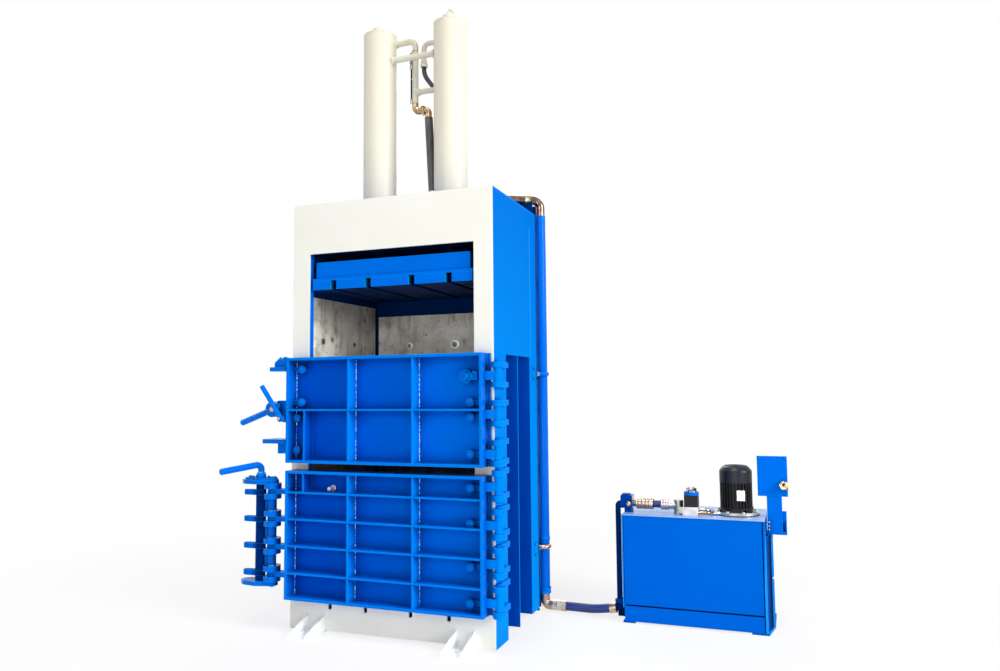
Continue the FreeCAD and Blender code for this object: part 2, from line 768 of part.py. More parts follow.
def side_pipe_fittings():
    """Collar, bottom elbow and swaged ferrule that lead into the floor hose."""
    y = Y(side_pipe_depth)
    x = side_pipe_x
    collar = turned([(side_pipe_r - 6, 0), (side_pipe_r + 5, 0), (side_pipe_r + 5, 44), (side_pipe_r - 6, 44)],
                    x, y, side_pipe_bottom - 44)
    elbow = tube([(x, y, side_pipe_bottom - 44), (x, y, pack_hose_z), (x + 64, y, pack_hose_z)], side_pipe_r - 3, 38)
    r = pack_hose_r
    ferrule = Part.makeCylinder(r + 5, 96, V(x + 64, y, pack_hose_z), V(1, 0, 0))
    ferrule = ferrule.cut(rod_x(x + 64 + 22, x + 64 + 97, y, pack_hose_z, r + 0.2))
    return [collar, elbow, ferrule]


tank_end = tank_x[0]
tank_flange_t = 12.0
tank_ferrule_z = 72.0
tank_ferrule_tilt = 10.0
inlet_x = (tank_x[0] - 34, tank_x[0] + 49)
riser_x = tank_x[0] - 55
riser_top = pressure_line_z


def tank_ferrule_direction():
    tilt = math.radians(tank_ferrule_tilt)
    return V(math.cos(tilt), 0, math.sin(tilt))


def tank_side_fittings():
    """Ferrule and elbow at the tank's left end that turn the floor hose up."""
    y = Y(side_pipe_depth)
    r = pack_hose_r
    corner = V(riser_x, y, tank_ferrule_z)
    along = tank_ferrule_direction()
    ferrule = Part.makeCylinder(r + 5, 46, corner - along * 72, along)
    ferrule = ferrule.cut(Part.makeCylinder(r + 0.2, 33, corner - along * 73, along))
    inlet = corner - along * 26
    elbow = tube([(inlet.x, inlet.y, inlet.z), (riser_x, y, tank_ferrule_z), (riser_x, y, tank_ferrule_z + 60)],
                 riser_r + 4, 25)
    bracket = box(riser_x + riser_r + 2, tank_end - tank_flange_t, y - 20, y + 20, tank_ferrule_z + 36, tank_ferrule_z + 56)
    bracket = bracket.fuse(rod(riser_x, y, tank_ferrule_z + 36, tank_ferrule_z + 56, riser_r + 14))
    bracket = bracket.cut(rod(riser_x, y, tank_ferrule_z + 20, tank_ferrule_z + 70, riser_r + 4)).removeSplitter()
    return [ferrule, elbow, bracket]


def tank_riser():
    """Hose up the tank's left end that bends over into the inlet block."""
    y = Y(side_pipe_depth)
    return tube([(riser_x, y, tank_ferrule_z + 60), (riser_x, y, riser_top), (inlet_x[0], y, riser_top)],
                riser_r, riser_r + 1.5)


def pack_hose_route():
    """Points of the floor hose's middle line, from one ferrule to the other."""
    y = Y(side_pipe_depth)
    start = V(side_pipe_x + 64 + 24, y, pack_hose_z)
    along = tank_ferrule_direction()
    end = V(riser_x, y, tank_ferrule_z) - along * 42
    before_end = end - along * 130
    return [tuple(start), (start.x + 150, y, pack_hose_z), tuple(before_end), tuple(end)]


def cord_tube(points, radius):
    """Straight runs joined by tangent arcs; each arc is as large as its shorter run allows."""
    path = [V(*p) for p in points]
    edges = []
    start = path[0]
    length = 0.0
    for before, corner, after in zip(path, path[1:], path[2:]):
        into = (corner - before).normalize()
        out = (after - corner).normalize()
        turn = into.getAngle(out)
        cut = 0.45 * min((corner - before).Length, (after - corner).Length)
        bend = cut / math.tan(turn / 2)
        arc_in = corner - into * cut
        arc_out = corner + out * cut
        towards = (out - into).normalize()
        middle = corner + towards * (bend / math.cos(turn / 2) - bend)
        edges.append(Part.makeLine(start, arc_in))
        edges.append(Part.Arc(arc_in, middle, arc_out).toShape())
        length += (arc_in - start).Length + bend * turn
        start = arc_out
        print("hose bend radius", round(bend), "mm, least allowed", round(5 * 2 * radius), "mm")
    edges.append(Part.makeLine(start, path[-1]))
    length += (path[-1] - start).Length
    print("hose length", round(length), "mm, diameters", round(length / (2 * radius), 1))
    ring = Part.Wire(Part.makeCircle(radius, path[0], path[1] - path[0]))
    return Part.Wire(edges).makePipeShell([ring], True, False)


def pipe_clamps():
    """Plates welded to the rear wall's edge, each with a U-bolt round the side pipe."""
    clamps = []
    y = Y(side_pipe_depth)
    back = Y(side_depth + frame_plate_t)
    for z in clamp_heights:
        gap = side_pipe_r + 0.3
        plate = box(side_pipe_x - 78, side_pipe_x - gap, back, y + 40, z - 34, z + 34)
        saddle = turned([(gap, -9), (gap + 11, -9), (gap + 11, 9), (gap, 9)], side_pipe_x, y, z)
        clamp = plate.cut(rod(side_pipe_x, y, z - 40, z + 40, gap)).fuse(saddle).removeSplitter()
        clamps.append(clamp)
    return clamps


# ---------------------------------------------------------------- doors
def door_weldment(z_range, level_ribs, short_ribs):
    """Back plate, rim and rib grid. A short rib is (x, bottom, top)."""
    z0, z1 = z_range
    rear = Y(-door_gap)
    plate_front = rear - door_back_t
    rim_front = rear - door_depth
    back = box(-door_half, door_half + door_hinge_lap, plate_front, rear, z0, z1)
    rim = box(-door_half, door_half, rim_front, plate_front, z0, z1)
    inner = box(-door_half + door_rim_t, door_half - door_rim_t, rim_front - 1, plate_front,
                z0 + door_rim_t, z1 - door_rim_t)
    pieces = [back, rim.cut(inner)]
    half = door_rib_t / 2
    rib_front = rim_front + 4
    for x in (-door_rib_x, door_rib_x):
        pieces.append(box(x - half, x + half, rib_front, plate_front, z0 + door_rim_t, z1 - door_rim_t))
    for z in level_ribs:
        pieces.append(box(-door_half + door_rim_t, door_half - door_rim_t, rib_front, plate_front,
                          z - half, z + half))
    for x, bottom, top in short_ribs:
        pieces.append(box(x - half, x + half, rib_front, plate_front, bottom, top))
    return fuse(pieces)


upper_mid_z = (upper_door_z[0] + upper_door_z[1]) / 2
lower_levels = [lower_door_z[0] + lower_rib_first + i * lower_rib_pitch for i in range(4)]


def upper_door():
    short = [(-door_half + 143, upper_door_z[0] + door_rim_t, upper_mid_z)]
    return door_weldment(upper_door_z, [upper_mid_z], short)


def lower_door():
    short = [(-door_half + 139, lower_levels[-1], lower_door_z[1] - door_rim_t)]
    return door_weldment(lower_door_z, lower_levels, short)


def hinge_levels(z, height):
    """Bottom ear, knuckle and top ear of one hinge as (bottom, top) pairs."""
    low = z - height / 2
    high = z + height / 2
    return (low, low + hinge_ear_t), (low + hinge_ear_t + axial_gap, high - hinge_ear_t - axial_gap), (high - hinge_ear_t, high)


def hinge_knuckle(z, height):
    """Barrel on the door's arm, turning on the fixed pin."""
    low, high = hinge_levels(z, height)[1]
    arm_front = hinge_y - hinge_barrel_r + 2
    arm_rear = Y(-door_gap - door_back_t)
    middle = (low + high) / 2 - 6
    arm = box(door_half, hinge_x, arm_front, arm_rear, middle - 27, middle + 27)
    barrel = rod(hinge_x, hinge_y, low, high, hinge_barrel_r)
    return arm.fuse(barrel).cut(rod(hinge_x, hinge_y, low - 1, high + 1, hinge_pin_r + running)).removeSplitter()


def hinge_ear(bottom, top):
    """Round nose round the pin, with an arm that runs back along the post."""
    arm = box(body_half, hinge_x + 2, hinge_y, Y(hinge_ear_reach), bottom, top)
    nose = rod(hinge_x, hinge_y, bottom, top, hinge_ear_r)
    trim = box(hinge_x - 9, hinge_x + hinge_ear_r + 5, Y(10), Y(hinge_ear_reach + 1), bottom - 1, top + 1)
    shape = arm.fuse(nose).cut(trim)
    return shape.cut(rod(hinge_x, hinge_y, bottom - 1, top + 1, hinge_pin_r)).removeSplitter()


def hinge_pin(z, height):
    stem = rod(hinge_x, hinge_y, z - height / 2 - 4, z + height / 2, hinge_pin_r)
    head = rod(hinge_x, hinge_y, z + height / 2, z + height / 2 + 9, hinge_pin_r + 5)
    return stem.fuse(head).removeSplitter()


hinges = [(z, upper_hinge_h) for z in upper_hinge_z] + [(z, lower_hinge_h) for z in lower_hinge_z]
boss_face = Y(-door_gap - door_back_t)
upper_bosses = ((-door_half + 89, upper_door_z[1] - 77), (-door_half + 87, upper_mid_z + 50),
                (-door_half + 55, upper_mid_z - 54), (-door_half + 55, upper_door_z[0] + 82),
                (door_half - 98, upper_mid_z + 44), (door_half - 98, upper_mid_z - 45),
                (door_half - 100, upper_door_z[0] + 76))
lower_bosses = ((door_half - 101, lower_door_z[1] - 78), (door_half - 102, lower_door_z[0] + 556),
                (door_half - 104, lower_door_z[0] + 294), (door_half - 106, lower_door_z[0] + 72))
hook_boss = (door_half - 130, upper_door_z[1] - 145)
catch_bolt = (-door_half + 312, lower_door_z[1] - 117)


def door_boss(x, z, arm_to):
    """Round strap peg with a square stay to the nearer rim."""
    peg = rod_y(x, boss_face - 40, boss_face, z, 24)
    cap = rod_y(x, boss_face - 48, boss_face - 40, z, 30)
    low, high = sorted((x, arm_to))
    stay = box(low, high, boss_face - 26, boss_face, z - 15, z + 15)
    return fuse([peg, cap, stay])


def door_bosses(places, door):
    pieces = []
    for x, z in places:
        rim = math.copysign(door_half - door_rim_t, x)
        pieces.append(door_boss(x, z, rim).cut(door))
    return pieces


def strap_hook():
    """Big open ring with a clamped block, at the top of the hinge side."""
    x, z = hook_boss
    ring = rod_y(x, boss_face - 46, boss_face, z, 44).cut(rod_y(x + 14, boss_face - 47, boss_face - 8, z, 26))
    tongue = box(x - 4, x + 86, boss_face - 64, boss_face, z - 22, z + 22)
    return fuse([ring, tongue])


def inspection_bolt():
    x, z = catch_bolt
    washer = rod_y(x, boss_face - 4, boss_face, z, 20)
    corners = hexagon(x, z, 26)
    head = slab_y(corners, boss_face - 18, boss_face - 4)
    end = rod_y(x, boss_face - 26, boss_face - 18, z, 8)
    return fuse([washer, head, end])


# ---------------------------------------------------------------- swing lock
lug_levels = [lock_lug_z + i * lock_lug_pitch for i in range(lock_count)]
eye_h = 32.0
ear_h = 36.0
link_bottom_top = link_bottom_z + link_t


def lock_lug(z):
    """Eye on the lower door's free edge that the lock's hinge pin passes through."""
    low = z - eye_h / 2
    high = z + eye_h / 2
    root = Y(-door_gap - door_back_t)
    arm = prism([(lock_hinge_x, lock_y - 24), (-door_half, lock_y - 36), (-door_half, root), (lock_hinge_x, lock_y + 24)],
                low, high)
    eye = rod(lock_hinge_x, lock_y, low, high, lock_eye_r)
    return arm.fuse(eye).cut(rod(lock_hinge_x, lock_y, low - 1, high + 1, lock_pin_r)).removeSplitter()


def lock_hinge_pin():
    """Fixed in the lugs; its head stands over the carrier's top plate."""
    top = link_top_z + link_t + tier_t + axial_gap
    stem = rod(lock_hinge_x, lock_y, link_bottom_z - 8, top, lock_pin_r)
    head = rod(lock_hinge_x, lock_y, top, top + 9, lock_pin_r + 7)
    return stem.fuse(head).removeSplitter()


tier_t = 13.0


def lock_frame():
    """Swinging carrier: two link plates, back plate, hinge tube and the ears round each lug."""
    pieces = []
    hx, sx, y = lock_hinge_x, lock_shaft_x, lock_y
    far = sx - 139
    top = link_top_z + link_t
    outline = [(hx + 14, y - 34), (hx + 36, y - 14), (hx + 36, y + 20), (hx + 10, y + 44), (sx, y + 66),
               (far + 34, y + 50), (far, y + 18), (far, y - 22), (far + 40, y - 50), (sx, y - 62)]
    pieces.append(prism(outline, link_bottom_z, link_bottom_top))
    pieces.append(prism(outline, link_top_z, top))
    raised = [(hx + 10, y - 28), (hx + 32, y - 12), (hx + 32, y + 14), (hx, y + 34), (sx, y + 52),
              (far + 36, y + 34), (far + 14, y + 10), (far + 14, y - 14), (far + 36, y - 36), (sx, y - 50)]
    pieces.append(prism(raised, top, top + tier_t))
    pieces.append(box(sx + claw_ring_r + 3, hx - 10, y - 4, y + 14, link_bottom_z, top))
    swing_room = 76.0
    for z in lug_levels:
        for low in (z - eye_h / 2 - axial_gap - ear_h, z + eye_h / 2 + axial_gap):
            pieces.append(rod(hx, y, low, low + ear_h, lock_ear_r))
    for below, above in zip(lug_levels, lug_levels[1:]):
        low = below + eye_h / 2 + axial_gap + ear_h
        high = above - eye_h / 2 - axial_gap - ear_h
        pieces.append(rod(hx, y, low, high, lock_tube_r))
    shape = fuse(pieces)
    for z in lug_levels:
        shape = shape.cut(rod(hx, y, z - eye_h / 2 - axial_gap, z + eye_h / 2 + axial_gap, swing_room))
    shape = shape.cut(rod(hx, y, link_bottom_z - 1, top + tier_t + 1, lock_pin_r + running))
    return shape.cut(rod(sx, y, link_bottom_z - 1, top + tier_t + 1, lock_journal_r + running)).removeSplitter()


lock_journal_r = lock_shaft_r - 8
claw_levels = [lock_lug_z - 1 + i * 181.0 for i in range(lock_count)]


def lock_shaft():
    """Turning shaft with its four claws, journalled in the two link plates."""
    sx, y = lock_shaft_x, lock_y
    stem = rod(sx, y, link_bottom_top + axial_gap, link_top_z - axial_gap, lock_shaft_r)
    spigot = rod(sx, y, link_bottom_z - 4, link_top_z + link_t + tier_t + axial_gap, lock_journal_r)
    pieces = [stem, spigot]
    for z in claw_levels:
        low = z - claw_t / 2
        high = z + claw_t / 2
        tip = sx - claw_reach
        finger = prism([(sx, y - claw_ring_r), (sx - 78, y - claw_ring_r), (tip + 6, y - 26), (tip, y - 16), (tip, y + 2),
                        (tip + 22, y + 14), (sx - 40, y + 18), (sx, y + 30)], low, high)
        pieces.append(finger)
        pieces.append(rod(sx, y, low, high, claw_ring_r))
    return fuse(pieces)


def lock_crank():
    """Hub and bent round handle on top of the lock shaft."""
    sx, y = lock_shaft_x, lock_y
    z0 = link_top_z + link_t + tier_t + axial_gap
    hub = turned([(0, 0), (34, 0), (34, 22), (29, 26), (29, 34), (0, 34)], sx, y, z0)
    angle = math.radians(crank_turn)
    elbow_height = z0 + 34 + crank_rise - crank_r
    end = (sx + crank_length * math.cos(angle), y + crank_length * math.sin(angle), elbow_height - crank_drop)
    arm = tube([(sx, y, z0 + 34), (sx, y, elbow_height), end], crank_r, 36)
    return hub.fuse(arm).removeSplitter()


def lock_catch_bar():
    """Upright bar on the frame's left side that the claws draw against."""
    out, thick = catch_bar
    return box(-body_half - out, -body_half, Y(0), Y(thick), claw_levels[0] - 40, claw_levels[-1] + 40)


# ---------------------------------------------------------------- upper door latch
latch_front = 108.0      # front of the latch hub in front of the body's face
latch_plate_t = 16.0
hub_t = 34.0
lever_pivot = (latch_x + 95, latch_z - 63)
latch_bracket_right = -door_half - 4
lever_y = Y(-latch_front - 4 - 3 - lever_r)
lever_eye_half = lever_r + 2


def latch_bracket():
    """Upright plate on the frame's left side that carries the latch."""
    y0 = Y(-latch_front + hub_t + axial_gap)
    right = latch_bracket_right
    face = slab_y([(right, latch_z - 90), (latch_x + 66, latch_z - 90), (latch_x + 16, latch_z - 55),
                   (latch_x - 30, latch_z - 35), (latch_x - 44, latch_z), (latch_x - 30, latch_z + 39),
                   (latch_x + 31, latch_z + 60), (right, latch_z + 60)], y0, y0 + latch_plate_t)
    web = box(-body_half - 40, -body_half - 24, y0, Y(60), latch_z - 75, latch_z + 45)
    foot = box(-body_half - 40, -body_half, Y(20), Y(60), latch_z - 75, latch_z + 45)
    return fuse([face, web, foot])


def latch_pins():
    """Pivot bolts of the hub and of the small lever."""
    y0 = Y(-latch_front)
    back = Y(-latch_front + hub_t + axial_gap + latch_plate_t)
    stem = rod_y(latch_x, y0 - axial_gap, back, latch_z, 12)
    head = rod_y(latch_x, y0 - 3, y0 - axial_gap, latch_z, 18)
    first = stem.fuse(head).removeSplitter()
    x, z = lever_pivot
    front = lever_y - lever_eye_half - axial_gap
    stem = rod_y(x, front, back, z, 9)
    head = slab_y(hexagon(x, z, 24), front - 10, front)
    spacer = rod_y(x, lever_y + lever_eye_half + axial_gap, Y(-latch_front + hub_t + axial_gap), z, 15)
    second = fuse([stem, head, spacer])
    return [first, second]


def latch_bracket_with_holes():
    shape = latch_bracket()
    x, z = lever_pivot
    shape = shape.cut(rod_y(latch_x, Y(-200), Y(100), latch_z, 12))
    return shape.cut(rod_y(x, Y(-200), Y(100), z, 9))


def latch_hub():
    """Cam disc and its round handle."""
    y0 = Y(-latch_front)
    disc = rod_y(latch_x, y0, y0 + hub_t, latch_z, latch_hub_r)
    nose = slab_y([(latch_x, latch_z + latch_hub_r - 2), (latch_x + 56, latch_z + 36), (latch_x + 62, latch_z + 12),
                   (latch_x, latch_z - 20)], y0 + 6, y0 + hub_t)
    angle = math.radians(180.0 + latch_handle_fall)
    reach = V(math.cos(angle), 0, math.sin(angle))
    mid = y0 + hub_t / 2
    handle = Part.makeCylinder(latch_handle_r, latch_handle_length - 20, V(latch_x, mid, latch_z) + reach * 20, reach)
    handle = handle.cut(rod_y(latch_x, y0 - 50, y0 + hub_t + 50, latch_z, 30))
    keep = box(latch_x - 400, latch_x + 400, y0 - 60, y0 + hub_t, latch_z - 300, latch_z + 300)
    shape = fuse([disc, nose, handle.common(keep)])
    return shape.cut(rod_y(latch_x, y0 - 1, y0 + hub_t + 1, latch_z, 12 + running))


def latch_lever():
    """Thin round lever in front of the hub."""
    y = lever_y
    x, z = lever_pivot
    direction = V(-160, 0, 221).normalize()
    start = V(x, y, z) - direction * 14
    bar = Part.makeCylinder(lever_r, lever_length, start, direction)
    eye = rod_y(x, y - lever_eye_half, y + lever_eye_half, z, lever_r + 4)
    return bar.fuse(eye).cut(rod_y(x, y - 60, y + 60, z, 9 + running)).removeSplitter()


def door_keepers():
    """Catch plates above and below the latch, welded to the frame's left side."""
    y0 = Y(-keeper_front)
    x = -body_half
    z = keeper_top_z
    upper = box(x - 128, x, y0, Y(60), z, z + 30)
    gusset = slab_y([(x - 106, z + 30), (x - 106, z + 60), (x - 58, z + 100), (x - 18, z + 60), (x, z + 54), (x, z + 30)],
                    y0 + 24, y0 + 44)
    z = keeper_low_z
    lower = box(x - 180, x, y0, Y(60), z, z + 30)
    block = box(x - 68, x, y0 + 20, Y(60), z - 68, z)
    return [fuse([upper, gusset]), fuse([lower, block])]


keeper_front = 88.0
keeper_top_z = 1746.0
keeper_low_z = 1250.0


def keeper_roller():
    y0 = Y(-keeper_front)
    return rod_y(-body_half - 34, y0 + 44, y0 + 70, keeper_top_z + 80, 22)


# ---------------------------------------------------------------- platen
def platen_body():
    base = prism(chamber_plan(15, rear_liner_face - platen_gap, -platen_gap), platen_base_z, platen_top_of_base)
    inset = platen_gap + platen_beam_inset
    front = 30.0
    rear = rear_liner_face - inset
    t = 15.0
    ring = prism(chamber_plan(front, rear, -inset), platen_top_of_base, platen_beam_top)
    core = prism(chamber_plan(front + t, rear - t, -inset - t), platen_top_of_base - 1, platen_beam_top + 1)
    pieces = [base, ring.cut(core)]
    for depth in (cylinder_depth - foot_disc_r - 13, cylinder_depth + foot_disc_r + 13):
        pieces.append(prism(chamber_plan(depth - 6, depth + 6, -inset - 2), platen_top_of_base, platen_beam_top - 20))
    rib_gap = foot_disc_r + 20
    for x in (-cylinder_x - rib_gap, -cylinder_x + rib_gap, cylinder_x - rib_gap, cylinder_x + rib_gap):
        pieces.append(box(x - 6, x + 6, Y(front + t - 2), Y(rear - t + 2), platen_top_of_base, platen_beam_top - 20))
    return fuse(pieces)


# ---------------------------------------------------------------- power pack
cover_depth = 198.0          # the slanting pipe cover at the tank's right end
seam_z = 119.0               # folded seam across the tank's front
seam_h = 5.0
seam_depth = 2.0
panel_foot_z = tank_top - 113
tank_y0 = Y(tank_front)
tank_y1 = Y(tank_front + tank_depth)
lid_bottom = tank_top - lid_t
motor_y = Y(motor_depth)


def tank_shell():
    """Folded open-topped tank with end flanges and two runners."""
    x0, x1 = tank_x
    w = tank_wall
    outer = box(x0, x1, tank_y0, tank_y1, 12, lid_bottom)
    inner = box(x0 + w, x1 - w, tank_y0 + w, tank_y1 - w, 12 + w, lid_bottom + 1)
    seam = box(x0 + 8, x1 - 8, tank_y0 - 1, tank_y0 + seam_depth, seam_z, seam_z + seam_h)
    shape = outer.cut(inner).cut(seam)
    pieces = [shape, box(x0 - 12, x0, tank_y0, tank_y1, 100, lid_bottom)]
    pieces.append(box(x0 - 12, x0 + 70, tank_y0 + 4, tank_y1 - 10, 0, 12))
    pieces.append(prism([(x1 - 90, tank_y0 + 4), (x1 + 20, tank_y0 + 4), (x1 + 54, tank_y0 + cover_depth),
                         (x1 + 54, tank_y1 - 10), (x1 - 90, tank_y1 - 10)], 0, 12))
    cover_top = panel_foot_z - 1
    cover_y = tank_y0 + cover_depth
    web = [(x1, tank_y0 + 4), (x1 + 6, tank_y0 + 4), (x1 + 42, cover_y - 14), (x1 + 36, cover_y),
           (x1, tank_y0 + 20)]
    pieces.append(prism(web, 12, cover_top))
    pieces.append(box(x1 + 36, x1 + 54, cover_y - 20, cover_y, 12, cover_top))
    pieces.append(box(x1, x1 + 40, cover_y - 6, cover_y, 12, cover_top))
    pieces.append(box(x1, x1 + 14, tank_y0, tank_y0 + 4, 16, lid_bottom))
    pieces.append(box(x1, x1 + 12, cover_y - 6, tank_y1, 100, lid_bottom))
    return fuse(pieces)


def tank_lid():
    x0, x1 = tank_x
    lid = box(x0 - 12, x1 + 12, tank_y0 - 4, tank_y1 + 4, lid_bottom, tank_top)
    return lid.cut(rod(motor_x, motor_y, lid_bottom - 1, tank_top + 1, bell_r))


bell_r = 92.0
bell_bottom = tank_top - 169
flange_top = tank_top + 24
lobe_top = flange_top + 24
fin_top = motor_top - 112
shaft_r = 14.0
core_r = 62.0


def pump_bell():
    """Steel mounting disc with the bell that hangs through the lid and carries the pump."""
    disc = rod(motor_x, motor_y, tank_top, flange_top, motor_flange_r)
    bell = rod(motor_x, motor_y, bell_bottom, tank_top, bell_r - 0.5)
    shape = disc.fuse(bell)
    shape = shape.cut(rod(motor_x, motor_y, bell_bottom + 12, flange_top + 1, bell_r - 10))
    return shape.cut(rod(motor_x, motor_y, bell_bottom - 1, bell_bottom + 13, 30)).removeSplitter()


def motor_housing():
    """Finned stator housing on a lobed foot flange, with a bearing bore at each end."""
    points = []
    root = motor_r - 16
    for i in range(motor_fins):
        pitch = 2 * math.pi / motor_fins
        for share, r in ((-0.26, root), (-0.16, motor_r - 1.5), (0.16, motor_r - 1.5), (0.26, root)):
            a = (i + share) * pitch
            points.append((motor_x + r * math.cos(a), motor_y + r * math.sin(a)))
    body = prism(points, lobe_top, fin_top)
    lobes = [rod(motor_x, motor_y, flange_top, lobe_top, motor_r)]
    for i in range(4):
        a = math.radians(90 * i + 45)
        x = motor_x + 118 * math.cos(a)
        y = motor_y + 118 * math.sin(a)
        lobes.append(rod(x, y, flange_top, lobe_top - 6, 26))
    box_y = motor_y - motor_r
    terminal = box(motor_x + 8, motor_x + 68, motor_y - motor_r - 6, motor_y - root + 6, fin_top - 120, fin_top - 40)
    shape = fuse([body] + lobes + [terminal])
    shape = shape.cut(rod(motor_x, motor_y, lobe_top, fin_top - 14, core_r + 1.5))
    return shape.cut(rod(motor_x, motor_y, flange_top - 1, fin_top + 1, shaft_r + running))


def motor_cowl():
    """Fan cowl with a rounded crown and slots over the fan."""
    t = 2.5
    low = fin_top + 0.5
    r = motor_r
    top = motor_top
    profile = [(r, low), (r, top - 38), (r - 4, top - 28), (r - 20, top - 8), (r - 34, top), (0, top), (0, top - t),
               (r - 35, top - t), (r - 22, top - t - 8), (r - 6.5, top - 30), (r - t, top - 39), (r - t, low)]
    shell = turned(profile, motor_x, motor_y, 0)
    slots = []
    for i in range(12):
        slot = box(30, r - 40, -4, 4, top - t - 1, top + 1)
        slot.rotate(V(0, 0, 0), V(0, 0, 1), 30 * i)
        slot.translate(V(motor_x, motor_y, 0))
        slots.append(slot)
    foot = turned([(motor_r - 22, fin_top), (r - t, fin_top), (r - t, fin_top + 8), (motor_r - 22, fin_top + 8)],
                  motor_x, motor_y, 0)
    return shell.cut(Part.makeCompound(slots)).fuse(foot).removeSplitter()


def motor_rotor():
    """Shaft, rotor core and cooling fan, turning as one."""
    shaft = rod(motor_x, motor_y, tank_top - 80, motor_top - 30, shaft_r)
    core = rod(motor_x, motor_y, lobe_top + 12, fin_top - 26, core_r)
    pieces = [shaft, core, rod(motor_x, motor_y, motor_top - 76, motor_top - 36, 26)]
    for i in range(7):
        blade = box(20, motor_r - 30, -2, 2, motor_top - 90, motor_top - 50)
        blade.rotate(V(0, 0, 0), V(0, 0, 1), 360 * i / 7)
        blade.translate(V(motor_x, motor_y, 0))
        pieces.append(blade)
    return fuse(pieces)


pump_shaft_r = 10.0
pump_top = bell_bottom
pump_h = 150.0


def pump_coupling():
    """Coupling sleeve on the motor shaft with the pump's drive shaft below it."""
    z = bell_bottom + 34
    sleeve = rod(motor_x, motor_y, z, z + 100, 34).cut(rod(motor_x, motor_y, tank_top - 80, z + 101, shaft_r))
    drive = rod(motor_x, motor_y, pump_top - pump_h + 30, z, pump_shaft_r)
    return sleeve.fuse(drive).removeSplitter()


def hydraulic_pump():
    """Gear pump under the bell, with its suction pipe and strainer."""
    body = box(motor_x - 60, motor_x + 60, motor_y - 48, motor_y + 48, pump_top - pump_h, pump_top)
    body = body.cut(rod(motor_x, motor_y, pump_top - pump_h + 28, pump_top + 1, pump_shaft_r + running))
    suction = tube([(motor_x - 60, motor_y, pump_top - 90), (motor_x - 140, motor_y, pump_top - 90),
                    (motor_x - 140, motor_y, 190)], 22, 45)
    strainer = rod(motor_x - 140, motor_y, 60, 190, 50)
    return fuse([body, suction, strainer])


valve_x = (tank_x[0] + 398, tank_x[0] + 503)
valve_y = (Y(tank_front + 70), Y(tank_front + 143))
valve_top = tank_top + 58
coil_top = valve_top + 80
coil_x = valve_x[1] - 46


def valve_block():
    return box(valve_x[0], valve_x[1], valve_y[0], valve_y[1], tank_top, valve_top)


def valve_coil():
    """Square solenoid coil on the block."""
    y = sum(valve_y) / 2
    return box(coil_x - 46, coil_x + 46, y - 44, y + 44, valve_top, coil_top)


def coil_ring():
    return rod(coil_x, sum(valve_y) / 2, coil_top, coil_top + 20, 50)


def valve_cap():
    cap = turned([(0, 0), (37, 0), (37, 10), (29, 14), (29, 26), (24, 31), (0, 31)], coil_x, sum(valve_y) / 2, coil_top + 20)
    band = prism(hexagon(coil_x, sum(valve_y) / 2, 62), coil_top + 34, coil_top + 44)
    return cap.fuse(band).removeSplitter()


def inlet_block():
    """Check valve block over the tank's left end."""
    y = Y(pressure_line_depth)
    lower = box(inlet_x[0] + 26, inlet_x[1] - 6, y - 34, y + 34, tank_top, tank_top + 30)
    upper = box(inlet_x[0], inlet_x[1], y - 42, y + 42, tank_top + 30, tank_top + 118)
    tower = box(inlet_x[0] + 8, inlet_x[1] - 22, y - 30, y + 30, tank_top + 118, tank_top + 128)
    return fuse([lower, upper, tower])


def pressure_line():
    """Ferrules and the short hose between the inlet block and the valve body."""
    y = Y(pressure_line_depth)
    z = pressure_line_z

    def ferrule(x0, profile):
        corners = [V(x0 + h, 0, r) for r, h in profile]
        face = Part.Face(Part.makePolygon(corners + corners[:1]))
        shape = face.revolve(V(0, 0, 0), V(1, 0, 0), 360)
        shape.translate(V(0, y, z))
        return shape

    first = ferrule(inlet_x[1], [(0, 0), (22, 0), (22, 24), (36, 26), (36, 52), (32, 54), (32, 130), (36, 134),
                                 (36, 142), (0, 142)])
    second = ferrule(inlet_x[1] + 194, [(0, 0), (30, 0), (36, 8), (36, 30), (31, 32), (31, 60), (0, 60)])
    return [first, second]


def short_hose():
    y = Y(pressure_line_depth)
    return rod_x(inlet_x[1] + 142, inlet_x[1] + 194, y, pressure_line_z, 25)


def valve_body():
    """Cast elbow body between the line and the valve block, on its own foot."""
    y = Y(pressure_line_depth)
    x0 = inlet_x[1] + 254
    barrel = rod_x(x0, x0 + 78, y, pressure_line_z, 30)
    corner = rod(x0 + 62, y - 2, tank_top, pressure_line_z + 34, 33)
    port = box(x0 + 62, valve_x[0], valve_y[0] + 24, valve_y[1] - 2, tank_top + 8, tank_top + 52)
    return fuse([barrel, corner, port])


def pump_pipes():
    """Two steel pipes from the valve block to the motor's mounting disc."""
    x0 = valve_x[1]
    middle = tank_top + (flange_top - tank_top) / 2
    pipes = []
    for y, rise, ahead in ((Y(tank_front + 123), 38, 70), (Y(tank_front + 90), 20, 100)):
        end_y = motor_y - ahead
        end_x = motor_x - math.sqrt(motor_flange_r ** 2 - ahead ** 2)
        pipe = tube([(x0, y, tank_top + rise), (x0 + 60, y, tank_top + rise), (end_x - 30, end_y, middle),
                     (end_x + 10, end_y, middle)], 11.0, 40)
        pipes.append(pipe.cut(rod(motor_x, motor_y, tank_top, flange_top + 60, motor_flange_r)))
    return pipes


